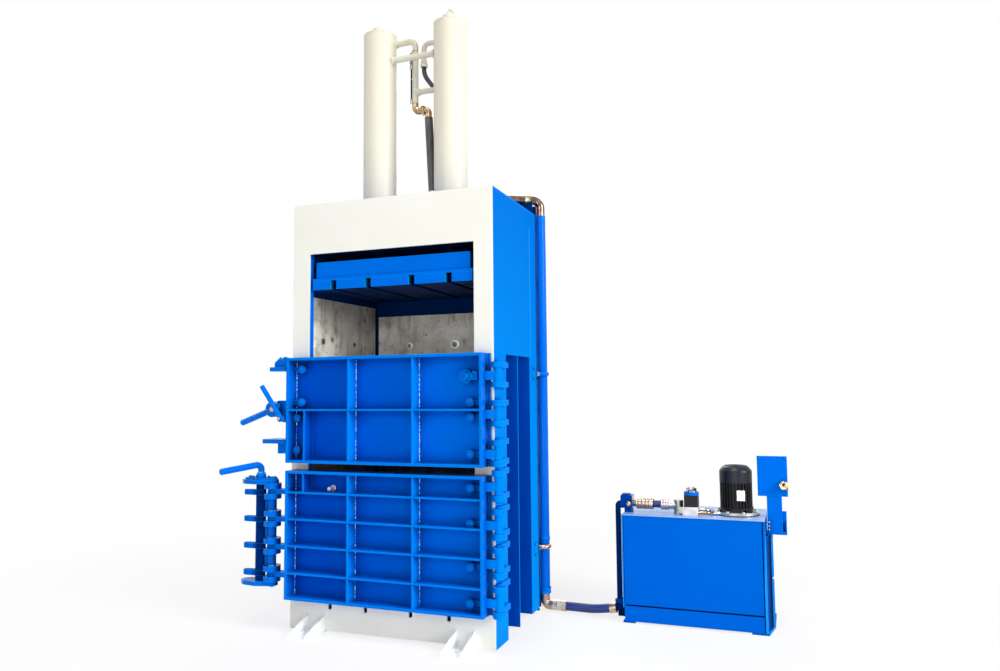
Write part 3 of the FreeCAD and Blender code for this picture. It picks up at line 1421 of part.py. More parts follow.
def panel_post():
    """Bent channel on the tank's right end that holds the gauge panel up."""
    x = panel_post_x
    y = Y(panel_depth)
    foot_z = panel_foot_z
    join_z = tank_top + 145
    end = tank_x[1] + 12
    web = box(x - 48, x + 48, y, y + 5, foot_z, join_z)
    right = box(x + 43, x + 48, y, y + 34, foot_z, join_z)
    side = box(x + 48, x + 74, y + 28, y + 34, foot_z, tank_top + 40)
    foot = box(end, x + 74, y, y + 66, foot_z, foot_z + 18)
    flange = box(end, end + 6, y - 4, y + 66, foot_z, tank_top - 9)
    cheek = box(x + 68, x + 74, y + 8, y + 34, foot_z, tank_top - 30)
    head = box(x - 46, x + 46, y, y + 5, join_z, panel_z[1] - 42)
    return fuse([web, right, side, foot, flange, cheek, head])


panel_x = (panel_post_x - 104, panel_post_x + 88)
panel_z = (tank_top + 140, tank_top + 408)


def panel_plate():
    y = Y(panel_depth)
    return box(panel_x[0], panel_x[1], y - 3, y, panel_z[0], panel_z[1])


def panel_screws():
    y = Y(panel_depth) - 3
    screws = []
    for x in (panel_x[0] + 14, panel_x[1] - 14):
        for z in (panel_z[0] + 14, panel_z[1] - 14):
            screws.append(rod_y(x, y - 5, y, z, 7))
    return screws


def panel_gland():
    """Brass cable gland on the panel's lower right corner."""
    y = Y(panel_depth) - 3
    x = panel_x[1] - 24
    z = panel_z[0] + 76
    nut = slab_y(hexagon(x, z, 52), y - 22, y)
    dome = rod_y(x, y - 40, y - 22, z, 20)
    return nut.fuse(dome).removeSplitter()


def name_plate():
    """Bare plate on the motor's terminal box."""
    y = motor_y - motor_r - 6
    return box(motor_x + 12, motor_x + 64, y - 2, y, fin_top - 114, fin_top - 46)


# ---------------------------------------------------------------- write every piece
write("front_portal", [front_portal()])
right_side = side_frame()
write("right_side_frame", [right_side])
write("left_side_frame", [mirror_x(right_side)])
write("rear_wall", [rear_wall()])
write("head_yoke", [head_yoke()])
write("chamber_floor", [chamber_floor()])
write("floor_pads", strap_pads(slot_floor, floor_top, front_plate_t, rear_liner_face, 0.5, slot_w, False))
write("side_liners", [side_liner(1), side_liner(-1)])
write("rear_liner", [rear_liner()])
write("liner_bolts", liner_bolts())
write("anchor_feet", [anchor_foot(x, rear) for x in (-foot_x, foot_x) for rear in (False, True)])

write("cylinder_barrels", [cylinder_barrel(x) for x in (-cylinder_x, cylinder_x)])
write("cylinder_glands", [cylinder_gland(x) for x in (-cylinder_x, cylinder_x)])
write("deck_bolts", deck_bolts())
write("dome_fittings", [lifting_eye(), bleed_plug()])
write("cylinder_pipes", [cross_tube()] + port_pipes())
write("port_fittings", port_fittings() + hose_tails())
write("cylinder_hoses", cylinder_hoses())
write("deck_block", [deck_block(), deck_stay()])
write("deck_pipe", [deck_pipe()])
write("side_pipe", [side_pipe()])
write("side_pipe_fittings", side_pipe_fittings() + tank_side_fittings())
write("pipe_clamps", pipe_clamps())
write("pack_hose", [cord_tube(pack_hose_route(), pack_hose_r)])

write("hinge_ears", [hinge_ear(*level) for z, h in hinges for level in hinge_levels(z, h)[::2]])
write("hinge_pins", [hinge_pin(z, h) for z, h in hinges])
top_door = upper_door()
write("upper_door", [top_door])
write("upper_door_knuckles", [hinge_knuckle(z, upper_hinge_h) for z in upper_hinge_z])
write("upper_door_bosses", door_bosses(upper_bosses, top_door) + [strap_hook().cut(top_door)])
bottom_door = lower_door()
write("lower_door", [bottom_door])
write("lower_door_knuckles", [hinge_knuckle(z, lower_hinge_h) for z in lower_hinge_z])
write("lower_door_bosses", door_bosses(lower_bosses, bottom_door) + [inspection_bolt()])

write("lock_lugs", [lock_lug(z) for z in lug_levels])
write("lock_hinge_pin", [lock_hinge_pin()])
write("lock_frame", [lock_frame()])
write("lock_shaft", [lock_shaft()])
write("lock_crank", [lock_crank()])
write("latch_bracket", [latch_bracket_with_holes()])
write("latch_pins", latch_pins())
write("latch_hub", [latch_hub()])
write("latch_lever", [latch_lever()])
write("door_keepers", door_keepers() + [keeper_roller(), lock_catch_bar()])

write("platen", [platen_body()])
write("platen_pads", strap_pads(platen_bottom, platen_base_z, 15.0, rear_liner_face - platen_gap, platen_gap,
                                platen_slot_w, True))
write("piston_rods", [make(x) for x in (-cylinder_x, cylinder_x) for make in (piston_rod, piston)])

write("tank_shell", [tank_shell()])
write("tank_lid", [tank_lid()])
write("tank_riser", [tank_riser()])
write("pump_bell", [pump_bell()])
write("motor_housing", [motor_housing()])
write("motor_cowl", [motor_cowl()])
write("motor_rotor", [motor_rotor()])
write("pump_coupling", [pump_coupling()])
write("hydraulic_pump", [hydraulic_pump()])
write("valve_block", [valve_block(), valve_body()])
write("valve_coil", [valve_coil(), coil_ring(), valve_cap()])
write("inlet_line", [inlet_block(), short_hose()] + pressure_line() + pump_pipes())
write("panel_post", [panel_post()])
write("panel_plate", [panel_plate()] + panel_screws() + [panel_gland()])
write("name_plate", [name_plate()])
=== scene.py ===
import bpy
import bmesh
import json
import math
from mathutils import Matrix, Vector


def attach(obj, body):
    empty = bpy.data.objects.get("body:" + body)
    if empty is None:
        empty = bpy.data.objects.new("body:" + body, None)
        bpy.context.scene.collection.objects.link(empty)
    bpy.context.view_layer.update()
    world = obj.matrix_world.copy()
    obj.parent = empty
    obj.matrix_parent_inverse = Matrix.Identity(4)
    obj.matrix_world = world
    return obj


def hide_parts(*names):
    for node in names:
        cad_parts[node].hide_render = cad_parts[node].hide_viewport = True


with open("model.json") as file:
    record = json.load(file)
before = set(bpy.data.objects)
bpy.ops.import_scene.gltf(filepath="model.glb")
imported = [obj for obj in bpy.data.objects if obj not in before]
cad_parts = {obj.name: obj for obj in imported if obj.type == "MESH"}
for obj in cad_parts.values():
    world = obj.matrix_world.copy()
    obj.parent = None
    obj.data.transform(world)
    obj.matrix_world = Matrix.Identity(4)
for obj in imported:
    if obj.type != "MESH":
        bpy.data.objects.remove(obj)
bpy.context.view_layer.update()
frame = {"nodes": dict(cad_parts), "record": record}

nodes = frame["nodes"]

# The cord, camera, lamps and materials are in metres, and the zones and added pieces in millimetres.
RIGHT = (1, 0, 0)
LEFT = (-1, 0, 0)
AHEAD = (0, -1, 0)
UP = (0, 0, 1)
DOWN = (0, 0, -1)


# ------------------------------------------------------------------ cord
HOSE_ROUTE = ((0.866, 0.465, 0.046), (1.016, 0.465, 0.046), (1.1586, 0.465, 0.0421), (1.2866, 0.465, 0.0647))
HOSE_RADIUS = 0.031
HOSE_BLUE = ((0.002, 0.030, 0.20), (0.001, 0.012, 0.09))


def make_pack_hose():
    """The free hose on the floor, from the side pipe's ferrule to the tank's."""
    curve = bpy.data.curves.new("pack_hose_line", "CURVE")
    curve.dimensions = "3D"
    line = curve.splines.new("NURBS")
    line.points.add(len(HOSE_ROUTE) - 1)
    for point, place in zip(line.points, HOSE_ROUTE):
        point.co = (*place, 1)
    line.order_u = 3
    line.use_endpoint_u = True
    line.resolution_u = 24
    curve.bevel_depth = HOSE_RADIUS
    curve.bevel_resolution = 8
    curve.use_fill_caps = True
    hose = bpy.data.objects.new("pack_hose_line", curve)
    bpy.context.scene.collection.objects.link(hose)
    curve.materials.append(hose_cover("floor_hose_cover", *HOSE_BLUE))
    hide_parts("pack_hose")
    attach(hose, "frame")


# ------------------------------------------------------------------ camera, floor, light
CAMERA_PLACE = (2.487, -5.029, 1.582)
CAMERA_YAW = 20.4            # degrees
CAMERA_PITCH = 4.28
CAMERA_ROLL = -0.52
CAMERA_SENSOR = 36           # millimetres
CAMERA_LENS = 27.73

# Each lamp's name, place, target, size and power in watts.
LAMPS = (
    ("key", (13.4, -3.5, 6.0), (0.2, -0.3, 1.8), (5.0, 5.0), 1805),
    ("strip", (7.4, -4.6, 1.4), (0.4, -0.4, 1.4), (0.4, 3.2), 57),
    ("front", (0.8, -9.4, 5.2), (0.2, -0.3, 1.9), (4.5, 3.0), 198),
    ("low", (1.4, -6.5, 0.9), (0.2, -0.5, 0.35), (4.0, 0.8), 78),
    ("top", (0.8, -3.0, 14.0), (0.3, -0.2, 1.0), (5.0, 5.0), 828),
    ("back", (-1.5, 8.0, 6.5), (0.3, 0.2, 2.0), (5.0, 5.0), 304),
    ("left", (-7.5, -3.0, 6.0), (-0.3, -0.2, 3.2), (3.0, 3.0), 152),
)
STUDIO_SEEN = 1.0            # strength of the white studio in the picture and in reflections
STUDIO_LIGHT = 0.10          # and of the light that it throws

FLOOR_SIZE = 80
FLOOR_DROP = 0.002           # keeps the floor's face clear of the feet
FLOOR_GLOW = (0.78, 1.0)     # share of plain white near the object and further out
FLOOR_FADE = (1.6, 4.8)      # distances between which it changes


def make_camera():
    yaw, pitch, roll = (math.radians(angle) for angle in (CAMERA_YAW, CAMERA_PITCH, CAMERA_ROLL))
    forward = Vector((-math.sin(yaw) * math.cos(pitch), math.cos(yaw) * math.cos(pitch), math.sin(pitch)))
    level = Vector((math.cos(yaw), math.sin(yaw), 0))
    upward = level.cross(forward)
    right = level * math.cos(roll) + upward * math.sin(roll)
    up = upward * math.cos(roll) - level * math.sin(roll)
    data = bpy.data.cameras.new("camera")
    data.sensor_width = CAMERA_SENSOR
    data.lens = CAMERA_LENS
    camera = bpy.data.objects.new("camera", data)
    turn = Matrix((right, up, -forward)).transposed().to_4x4()
    camera.matrix_world = Matrix.Translation(CAMERA_PLACE) @ turn
    bpy.context.scene.collection.objects.link(camera)
    bpy.context.scene.camera = camera


def area_light(name, place, target, size, power):
    data = bpy.data.lights.new(name, "AREA")
    data.shape = "RECTANGLE"
    data.size, data.size_y = size
    data.energy = power
    lamp = bpy.data.objects.new(name, data)
    lamp.location = place
    lamp.rotation_euler = (Vector(target) - Vector(place)).to_track_quat("-Z", "Y").to_euler()
    bpy.context.scene.collection.objects.link(lamp)


def make_light():
    for lamp in LAMPS:
        area_light(*lamp)
    world = bpy.data.worlds.new("studio")
    world.use_nodes = True
    tree = world.node_tree
    seen = tree.nodes["Background"]
    lit = tree.nodes.new("ShaderNodeBackground")
    for background, strength in ((seen, STUDIO_SEEN), (lit, STUDIO_LIGHT)):
        background.inputs[0].default_value = (1, 1, 1, 1)
        background.inputs[1].default_value = strength
    mix = tree.nodes.new("ShaderNodeMixShader")
    tree.links.new(bright_ray(tree), mix.inputs[0])
    tree.links.new(lit.outputs[0], mix.inputs[1])
    tree.links.new(seen.outputs[0], mix.inputs[2])
    tree.links.new(mix.outputs[0], tree.nodes["World Output"].inputs[0])
    bpy.context.scene.world = world
    bpy.context.scene.view_settings.view_transform = "Standard"


def bright_ray(tree):
    """1 for camera, glossy and transmission rays, which see a white studio."""
    path = tree.nodes.new("ShaderNodeLightPath")
    value = path.outputs["Is Camera Ray"]
    for name in ("Is Glossy Ray", "Is Transmission Ray"):
        larger = tree.nodes.new("ShaderNodeMath")
        larger.operation = "MAXIMUM"
        tree.links.new(value, larger.inputs[0])
        tree.links.new(path.outputs[name], larger.inputs[1])
        value = larger.outputs[0]
    return value


def make_floor():
    """Pale floor that keeps the object's soft shadow and fades to white further out."""
    bpy.ops.mesh.primitive_plane_add(size=FLOOR_SIZE, location=(0, 0, -FLOOR_DROP))
    floor = bpy.context.object
    floor.name = "floor"
    n = Nodes("floor")
    n.set(Base_Color=(0.84, 0.84, 0.84), Roughness=0.95, Specular_IOR_Level=0.0)
    glow = n.add("ShaderNodeEmission")
    glow.inputs["Strength"].default_value = 1.0
    distance = n.add("ShaderNodeVectorMath", operation="LENGTH")
    n.link(n.place, distance.inputs[0])
    seen = n.add("ShaderNodeMath", operation="MULTIPLY")
    n.link(bright_ray(n.tree), seen.inputs[0])
    n.link(n.grey(distance.outputs["Value"], *FLOOR_GLOW, *FLOOR_FADE), seen.inputs[1])
    mix = n.add("ShaderNodeMixShader")
    n.link(seen.outputs[0], mix.inputs[0])
    n.link(n.shader.outputs[0], mix.inputs[1])
    n.link(glow.outputs[0], mix.inputs[2])
    n.link(mix.outputs[0], n.tree.nodes["Material Output"].inputs[0])
    floor.data.materials.append(n.material)


# ------------------------------------------------------------------ materials
BLACK = (0, 0, 0)
WHITE = (1, 1, 1)
# Tint of the painted shade in corners and hollows.
PAINTED_SHADE_TINT = (0.38, 0.38, 0.46)
# Sooty colour, also used for the painted shade at a wear plate's top.
SOOT_AND_SHADE = (0.035, 0.03, 0.026)

BLUE = (0.0, 0.142, 0.69)
BLUE_DARK = (0.0, 0.125, 0.635)
# Lighter blue for specks, and for painted highlights on edges, tops and lit strips.
BLUE_SPECK_AND_HIGHLIGHT = (0.0, 0.28, 0.88)
SHADE_NAVY = (0.0, 0.022, 0.11)
BLUE_SHEEN = (0.05, 0.40, 1.0)

# Enamel settings that several paints share, as explained at enamel().
SATIN = {"edge": 0.0035, "ior": 1.13, "tint": BLUE_SHEEN, "level": 0.2}
GLOSS = {"edge": 0.003, "ior": 1.18, "tint": (0.1, 0.7, 1.0)}

# Grain of bare metal, as noise scales along X, Y and Z: lines across an upright or level piece, or none.
UPRIGHT = (1, 1, 30)
LEVEL = (30, 1, 1)
EVEN = (1, 1, 1)

# Spots on the wear plates: place, radii of the full spot and of its rim, and colour.
WEAR_SPOTS = (
    ((0.099, 0.398, 1.960), 0.030, 0.040, (0.92, 0.94, 0.90)),
    ((-0.291, 0.398, 1.960), 0.022, 0.030, (0.90, 0.89, 0.82)),
    ((-0.613, -0.318, 1.963), 0.022, 0.036, (0.050, 0.044, 0.040)),
    ((-0.609, -0.208, 1.982), 0.014, 0.034, (0.15, 0.068, 0.03)),
    ((-0.597, 0.081, 1.959), 0.014, 0.032, (0.055, 0.048, 0.042)),
)


class Nodes:
    """A new material's node tree, with short calls for the nodes used here."""

    def __init__(self, name):
        self.material = bpy.data.materials.new(name)
        self.material.use_nodes = True
        self.tree = self.material.node_tree
        self.shader = self.tree.nodes["Principled BSDF"]
        self.place = self.tree.nodes.new("ShaderNodeTexCoord").outputs["Object"]

    def add(self, kind, **settings):
        node = self.tree.nodes.new(kind)
        for key, value in settings.items():
            setattr(node, key, value)
        return node

    def link(self, source, target):
        self.tree.links.new(source, target)

    def put(self, socket, value):
        if isinstance(value, bpy.types.NodeSocket):
            self.link(value, socket)
        elif isinstance(value, tuple) and len(value) == 3:
            socket.default_value = (*value, 1)
        else:
            socket.default_value = value

    def set(self, **values):
        for key, value in values.items():
            self.put(self.shader.inputs[key.replace("_", " ")], value)

    def noise(self, scale, detail=3.0, rough=0.55, stretch=None):
        node = self.add("ShaderNodeTexNoise")
        node.inputs["Scale"].default_value = scale
        node.inputs["Detail"].default_value = detail
        node.inputs["Roughness"].default_value = rough
        if stretch:
            mapping = self.add("ShaderNodeMapping")
            mapping.inputs["Scale"].default_value = stretch
            self.link(self.place, mapping.inputs["Vector"])
            self.link(mapping.outputs[0], node.inputs["Vector"])
        else:
            self.link(self.place, node.inputs["Vector"])
        return node.outputs["Fac"]

    def ramp(self, value, *stops):
        """A colour from a value. A stop is (value, colour)."""
        node = self.add("ShaderNodeValToRGB")
        elements = node.color_ramp.elements
        while len(elements) < len(stops):
            elements.new(0.5)
        for element, (position, colour) in zip(elements, stops):
            element.position = position
            element.color = (*colour, 1)
        self.link(value, node.inputs[0])
        return node.outputs[0]

    def patches(self, scale, detail, rough, low, high):
        """A mask of patches: 0 where the noise is below low, and 1 where it is above high."""
        return self.ramp(self.noise(scale, detail, rough), (low, BLACK), (high, WHITE))

    def grey(self, value, low, high, start=0.0, end=1.0):
        """A number that goes from low to high while the value goes from start to end."""
        node = self.add("ShaderNodeMapRange")
        node.inputs["From Min"].default_value = start
        node.inputs["From Max"].default_value = end
        node.inputs["To Min"].default_value = low
        node.inputs["To Max"].default_value = high
        self.link(value, node.inputs["Value"])
        return node.outputs[0]

    def mix(self, factor, first, second):
        node = self.add("ShaderNodeMix", data_type="RGBA")
        self.put(node.inputs["Factor"], factor)
        self.put(node.inputs[6], first)
        self.put(node.inputs[7], second)
        return node.outputs[2]

    def multiplied(self, first, second):
        """The product of two colours."""
        node = self.add("ShaderNodeMix", data_type="RGBA", blend_type="MULTIPLY")
        node.inputs["Factor"].default_value = 1.0
        self.put(node.inputs[6], first)
        self.put(node.inputs[7], second)
        return node.outputs[2]

    def scaled(self, value, factor):
        node = self.add("ShaderNodeMath", operation="MULTIPLY")
        self.link(value, node.inputs[0])
        node.inputs[1].default_value = factor
        return node.outputs[0]

    def added(self, first, second):
        node = self.add("ShaderNodeMath", operation="ADD")
        self.link(first, node.inputs[0])
        self.link(second, node.inputs[1])
        return node.outputs[0]

    def along(self, axis):
        """The place along one axis."""
        split = self.add("ShaderNodeSeparateXYZ")
        self.link(self.place, split.inputs[0])
        return split.outputs[axis]

    def edges(self, radius):
        """0 on flat faces, rising to 1 on edges and corners."""
        bevel = self.add("ShaderNodeBevel", samples=4)
        bevel.inputs["Radius"].default_value = radius
        shape = self.add("ShaderNodeNewGeometry")
        dot = self.add("ShaderNodeVectorMath", operation="DOT_PRODUCT")
        self.link(bevel.outputs[0], dot.inputs[0])
        self.link(shape.outputs["True Normal"], dot.inputs[1])
        return self.grey(dot.outputs["Value"], 1.0, 0.0, 0.86, 0.995)

    def with_painted_shade(self, tone, depth):
        """The tone with painted shade: darker in corners and hollows narrower than the depth."""
        if not depth:
            return tone
        node = self.add("ShaderNodeAmbientOcclusion", samples=6)
        node.inputs["Distance"].default_value = depth
        return self.multiplied(tone, self.ramp(node.outputs["AO"], (0.28, PAINTED_SHADE_TINT), (0.76, WHITE)))

    def uneven(self, roughness):
        """A paint's roughness, which drifts a little."""
        return self.grey(self.noise(9.0, 5.0), roughness - 0.07, roughness + 0.1)

    def bump(self, height, strength, distance, edge=0.0):
        node = self.add("ShaderNodeBump")
        node.inputs["Strength"].default_value = strength
        node.inputs["Distance"].default_value = distance
        self.link(height, node.inputs["Height"])
        if edge:
            bevel = self.add("ShaderNodeBevel", samples=4)
            bevel.inputs["Radius"].default_value = edge
            self.link(bevel.outputs[0], node.inputs["Normal"])
        self.link(node.outputs[0], self.shader.inputs["Normal"])


def enamel(name, colour, dark, light, roughness=0.34, edge=0.0025, ior=1.5, tint=WHITE, level=0.5, depth=0.0):
    """Sprayed machine enamel: random tone, specks, orange peel, painted edge highlights and painted shade in
    hollows.

    edge is the radius of the painted edge highlight in the light colour, which also gives the specks. ior,
    tint and level set the highlights, and depth the reach of the painted shade in hollows.
    """
    n = Nodes(name)
    broad = n.ramp(n.noise(1.7, 4.0), (0.34, dark), (0.62, colour))
    specked = n.mix(n.scaled(n.patches(46.0, 6.0, 0.7, 0.67, 0.76), 0.16), broad, light)
    tone = n.with_painted_shade(specked, depth)
    # Painted highlight: the light colour on edges and corners.
    n.set(Base_Color=n.mix(n.scaled(n.edges(edge * 1.6), 0.7), tone, light), Roughness=n.uneven(roughness))
    n.set(IOR=ior, Specular_Tint=tint, Specular_IOR_Level=level)
    n.bump(n.noise(240.0, 2.0), 0.1, 0.0006, edge)
    return n.material


def painted_falloff_enamel(name, axis, first, last, roughness, depth=0.0):
    """Enamel with painted light and shade that fall off along one axis, from one place and colour to another.
    """
    n = Nodes(name)
    edge = 0.0035
    falloff_place = n.added(n.along(axis), n.scaled(n.noise(2.4, 3.0), 0.04))
    (start, first_colour), (end, last_colour) = first, last
    tone = n.with_painted_shade(n.mix(n.grey(falloff_place, 0.0, 1.0, start, end), first_colour, last_colour), depth)
    # Painted highlight on the edges.
    n.set(Base_Color=n.mix(n.scaled(n.edges(edge * 1.6), 0.5), tone, BLUE_SPECK_AND_HIGHLIGHT),
          Roughness=n.uneven(roughness))
    n.set(IOR=1.1, Specular_Tint=BLUE_SHEEN, Specular_IOR_Level=0.08)
    n.bump(n.noise(240.0, 2.0), 0.1, 0.0006, edge)
    return n.material


def bead_enamel(name, colour, bright):
    """Paint over a weld: rounder gloss, with painted highlights as bright glints on its ripples."""
    n = Nodes(name)
    glints = n.patches(85.0, 2.0, 0.5, 0.49, 0.55)
    n.set(Base_Color=n.mix(n.scaled(glints, 0.85), colour, bright), Roughness=n.grey(glints, 0.3, 0.12))
    n.set(Coat_Weight=0.15, Coat_Roughness=0.1, IOR=1.3)
    n.bump(n.noise(600.0, 2.0), 0.1, 0.0003)
    return n.material


def worn_plate(name, level=1.0, top_shade=0.0):
    """Hot-rolled wear plate: mottled grey with runs, stains, rust and a sooty foot.

    level makes the plate lighter as painted light, and the last argument is the share of painted shade at its
    top.
    """
    n = Nodes(name)
    mottle = n.ramp(n.noise(4.6, 9.0, 0.66), (0.33, (0.38, 0.345, 0.285)), (0.47, (0.70, 0.665, 0.57)),
                    (0.66, (0.90, 0.87, 0.78)))
    runs = n.ramp(n.noise(9.0, 7.0, 0.66, (1, 1, 0.22)), (0.52, WHITE), (0.66, (0.48, 0.44, 0.38)))
    stains = n.scaled(n.patches(15.0, 9.0, 0.72, 0.585, 0.66), 0.8)
    rust = n.scaled(n.patches(23.0, 6.0, 0.7, 0.665, 0.73), 0.85)
    tone = n.mix(stains, n.multiplied(mottle, runs), (0.075, 0.062, 0.052))
    tone = n.mix(rust, tone, (0.15, 0.062, 0.03))
    for place, inner, outer, colour in WEAR_SPOTS:
        away = n.add("ShaderNodeVectorMath", operation="DISTANCE")
        n.link(n.place, away.inputs[0])
        away.inputs[1].default_value = place
        ragged = n.added(away.outputs["Value"], n.scaled(n.noise(70.0, 4.0), 0.012))
        tone = n.mix(n.grey(ragged, 0.9, 0.0, inner, outer), tone, colour)
    height = n.along("Z")
    tone = n.mix(n.grey(height, 0.88, 0.0, 1.15, 1.7), tone, SOOT_AND_SHADE)
    # Painted shade at the top, under the platen, in the same sooty colour.
    tone = n.mix(n.grey(height, 0.0, top_shade, 1.92, 2.2), tone, SOOT_AND_SHADE)
    n.set(Base_Color=n.multiplied(tone, (level, level, level)),
          Roughness=n.grey(n.noise(17.0, 6.0), 0.5, 0.8))
    n.set(Metallic=0.15, Specular_IOR_Level=0.35)
    n.bump(n.noise(60.0, 8.0, 0.7), 0.3, 0.0012)
    return n.material


def machined(name, colour, roughness=0.28, grain=UPRIGHT, stain=None):
    """Turned or drawn bare metal with a fine directional grain and some staining."""
    n = Nodes(name)
    lines = n.noise(140.0, 3.0, 0.6, grain)
    dark = tuple(c * 0.55 for c in colour)
    shade = n.ramp(n.noise(11.0, 4.0), (0.32, dark), (0.62, colour))
    if stain:
        shade = n.mix(n.scaled(n.patches(26.0, 5.0, 0.65, 0.46, 0.62), 0.75), shade, stain)
    n.set(Base_Color=shade, Roughness=n.grey(lines, roughness - 0.08, roughness + 0.14), Metallic=1.0)
    n.bump(lines, 0.10, 0.0004, 0.0012)
    return n.material


def hose_cover(name, colour, dark):
    """Wrapped rubber cover: a fine cloth-print, rubbed marks and dull sheen."""
    n = Nodes(name)
    rubbed = n.scaled(n.patches(36.0, 6.0, 0.7, 0.62, 0.78), 0.5)
    base = n.ramp(n.noise(7.0, 5.0), (0.32, dark), (0.66, colour))
    pale = tuple(min(1.0, c * 2.2 + 0.05) for c in colour)
    n.set(Base_Color=n.mix(rubbed, base, pale), Roughness=n.grey(n.noise(30.0, 5.0), 0.32, 0.55))
    n.bump(n.noise(420.0, 2.0), 0.22, 0.0006)
    return n.material


def moulded(name, colour):
    """Cast or moulded black part with a sand-grain surface and a painted highlight on its edges."""
    n = Nodes(name)
    edge = 0.0015
    dull = tuple(c * 0.6 for c in colour)
    # Lighter tone for the painted edge highlight.
    light = tuple(c * 3.0 + 0.01 for c in colour)
    base = n.ramp(n.noise(5.0, 3.0), (0.3, dull), (0.7, colour))
    n.set(Base_Color=n.mix(n.scaled(n.edges(edge * 1.6), 0.6), base, light),
          Roughness=n.grey(n.noise(300.0, 2.0), 0.36, 0.52), Specular_IOR_Level=0.2)
    n.bump(n.noise(700.0, 2.0), 0.14, 0.0003, edge)
    return n.material
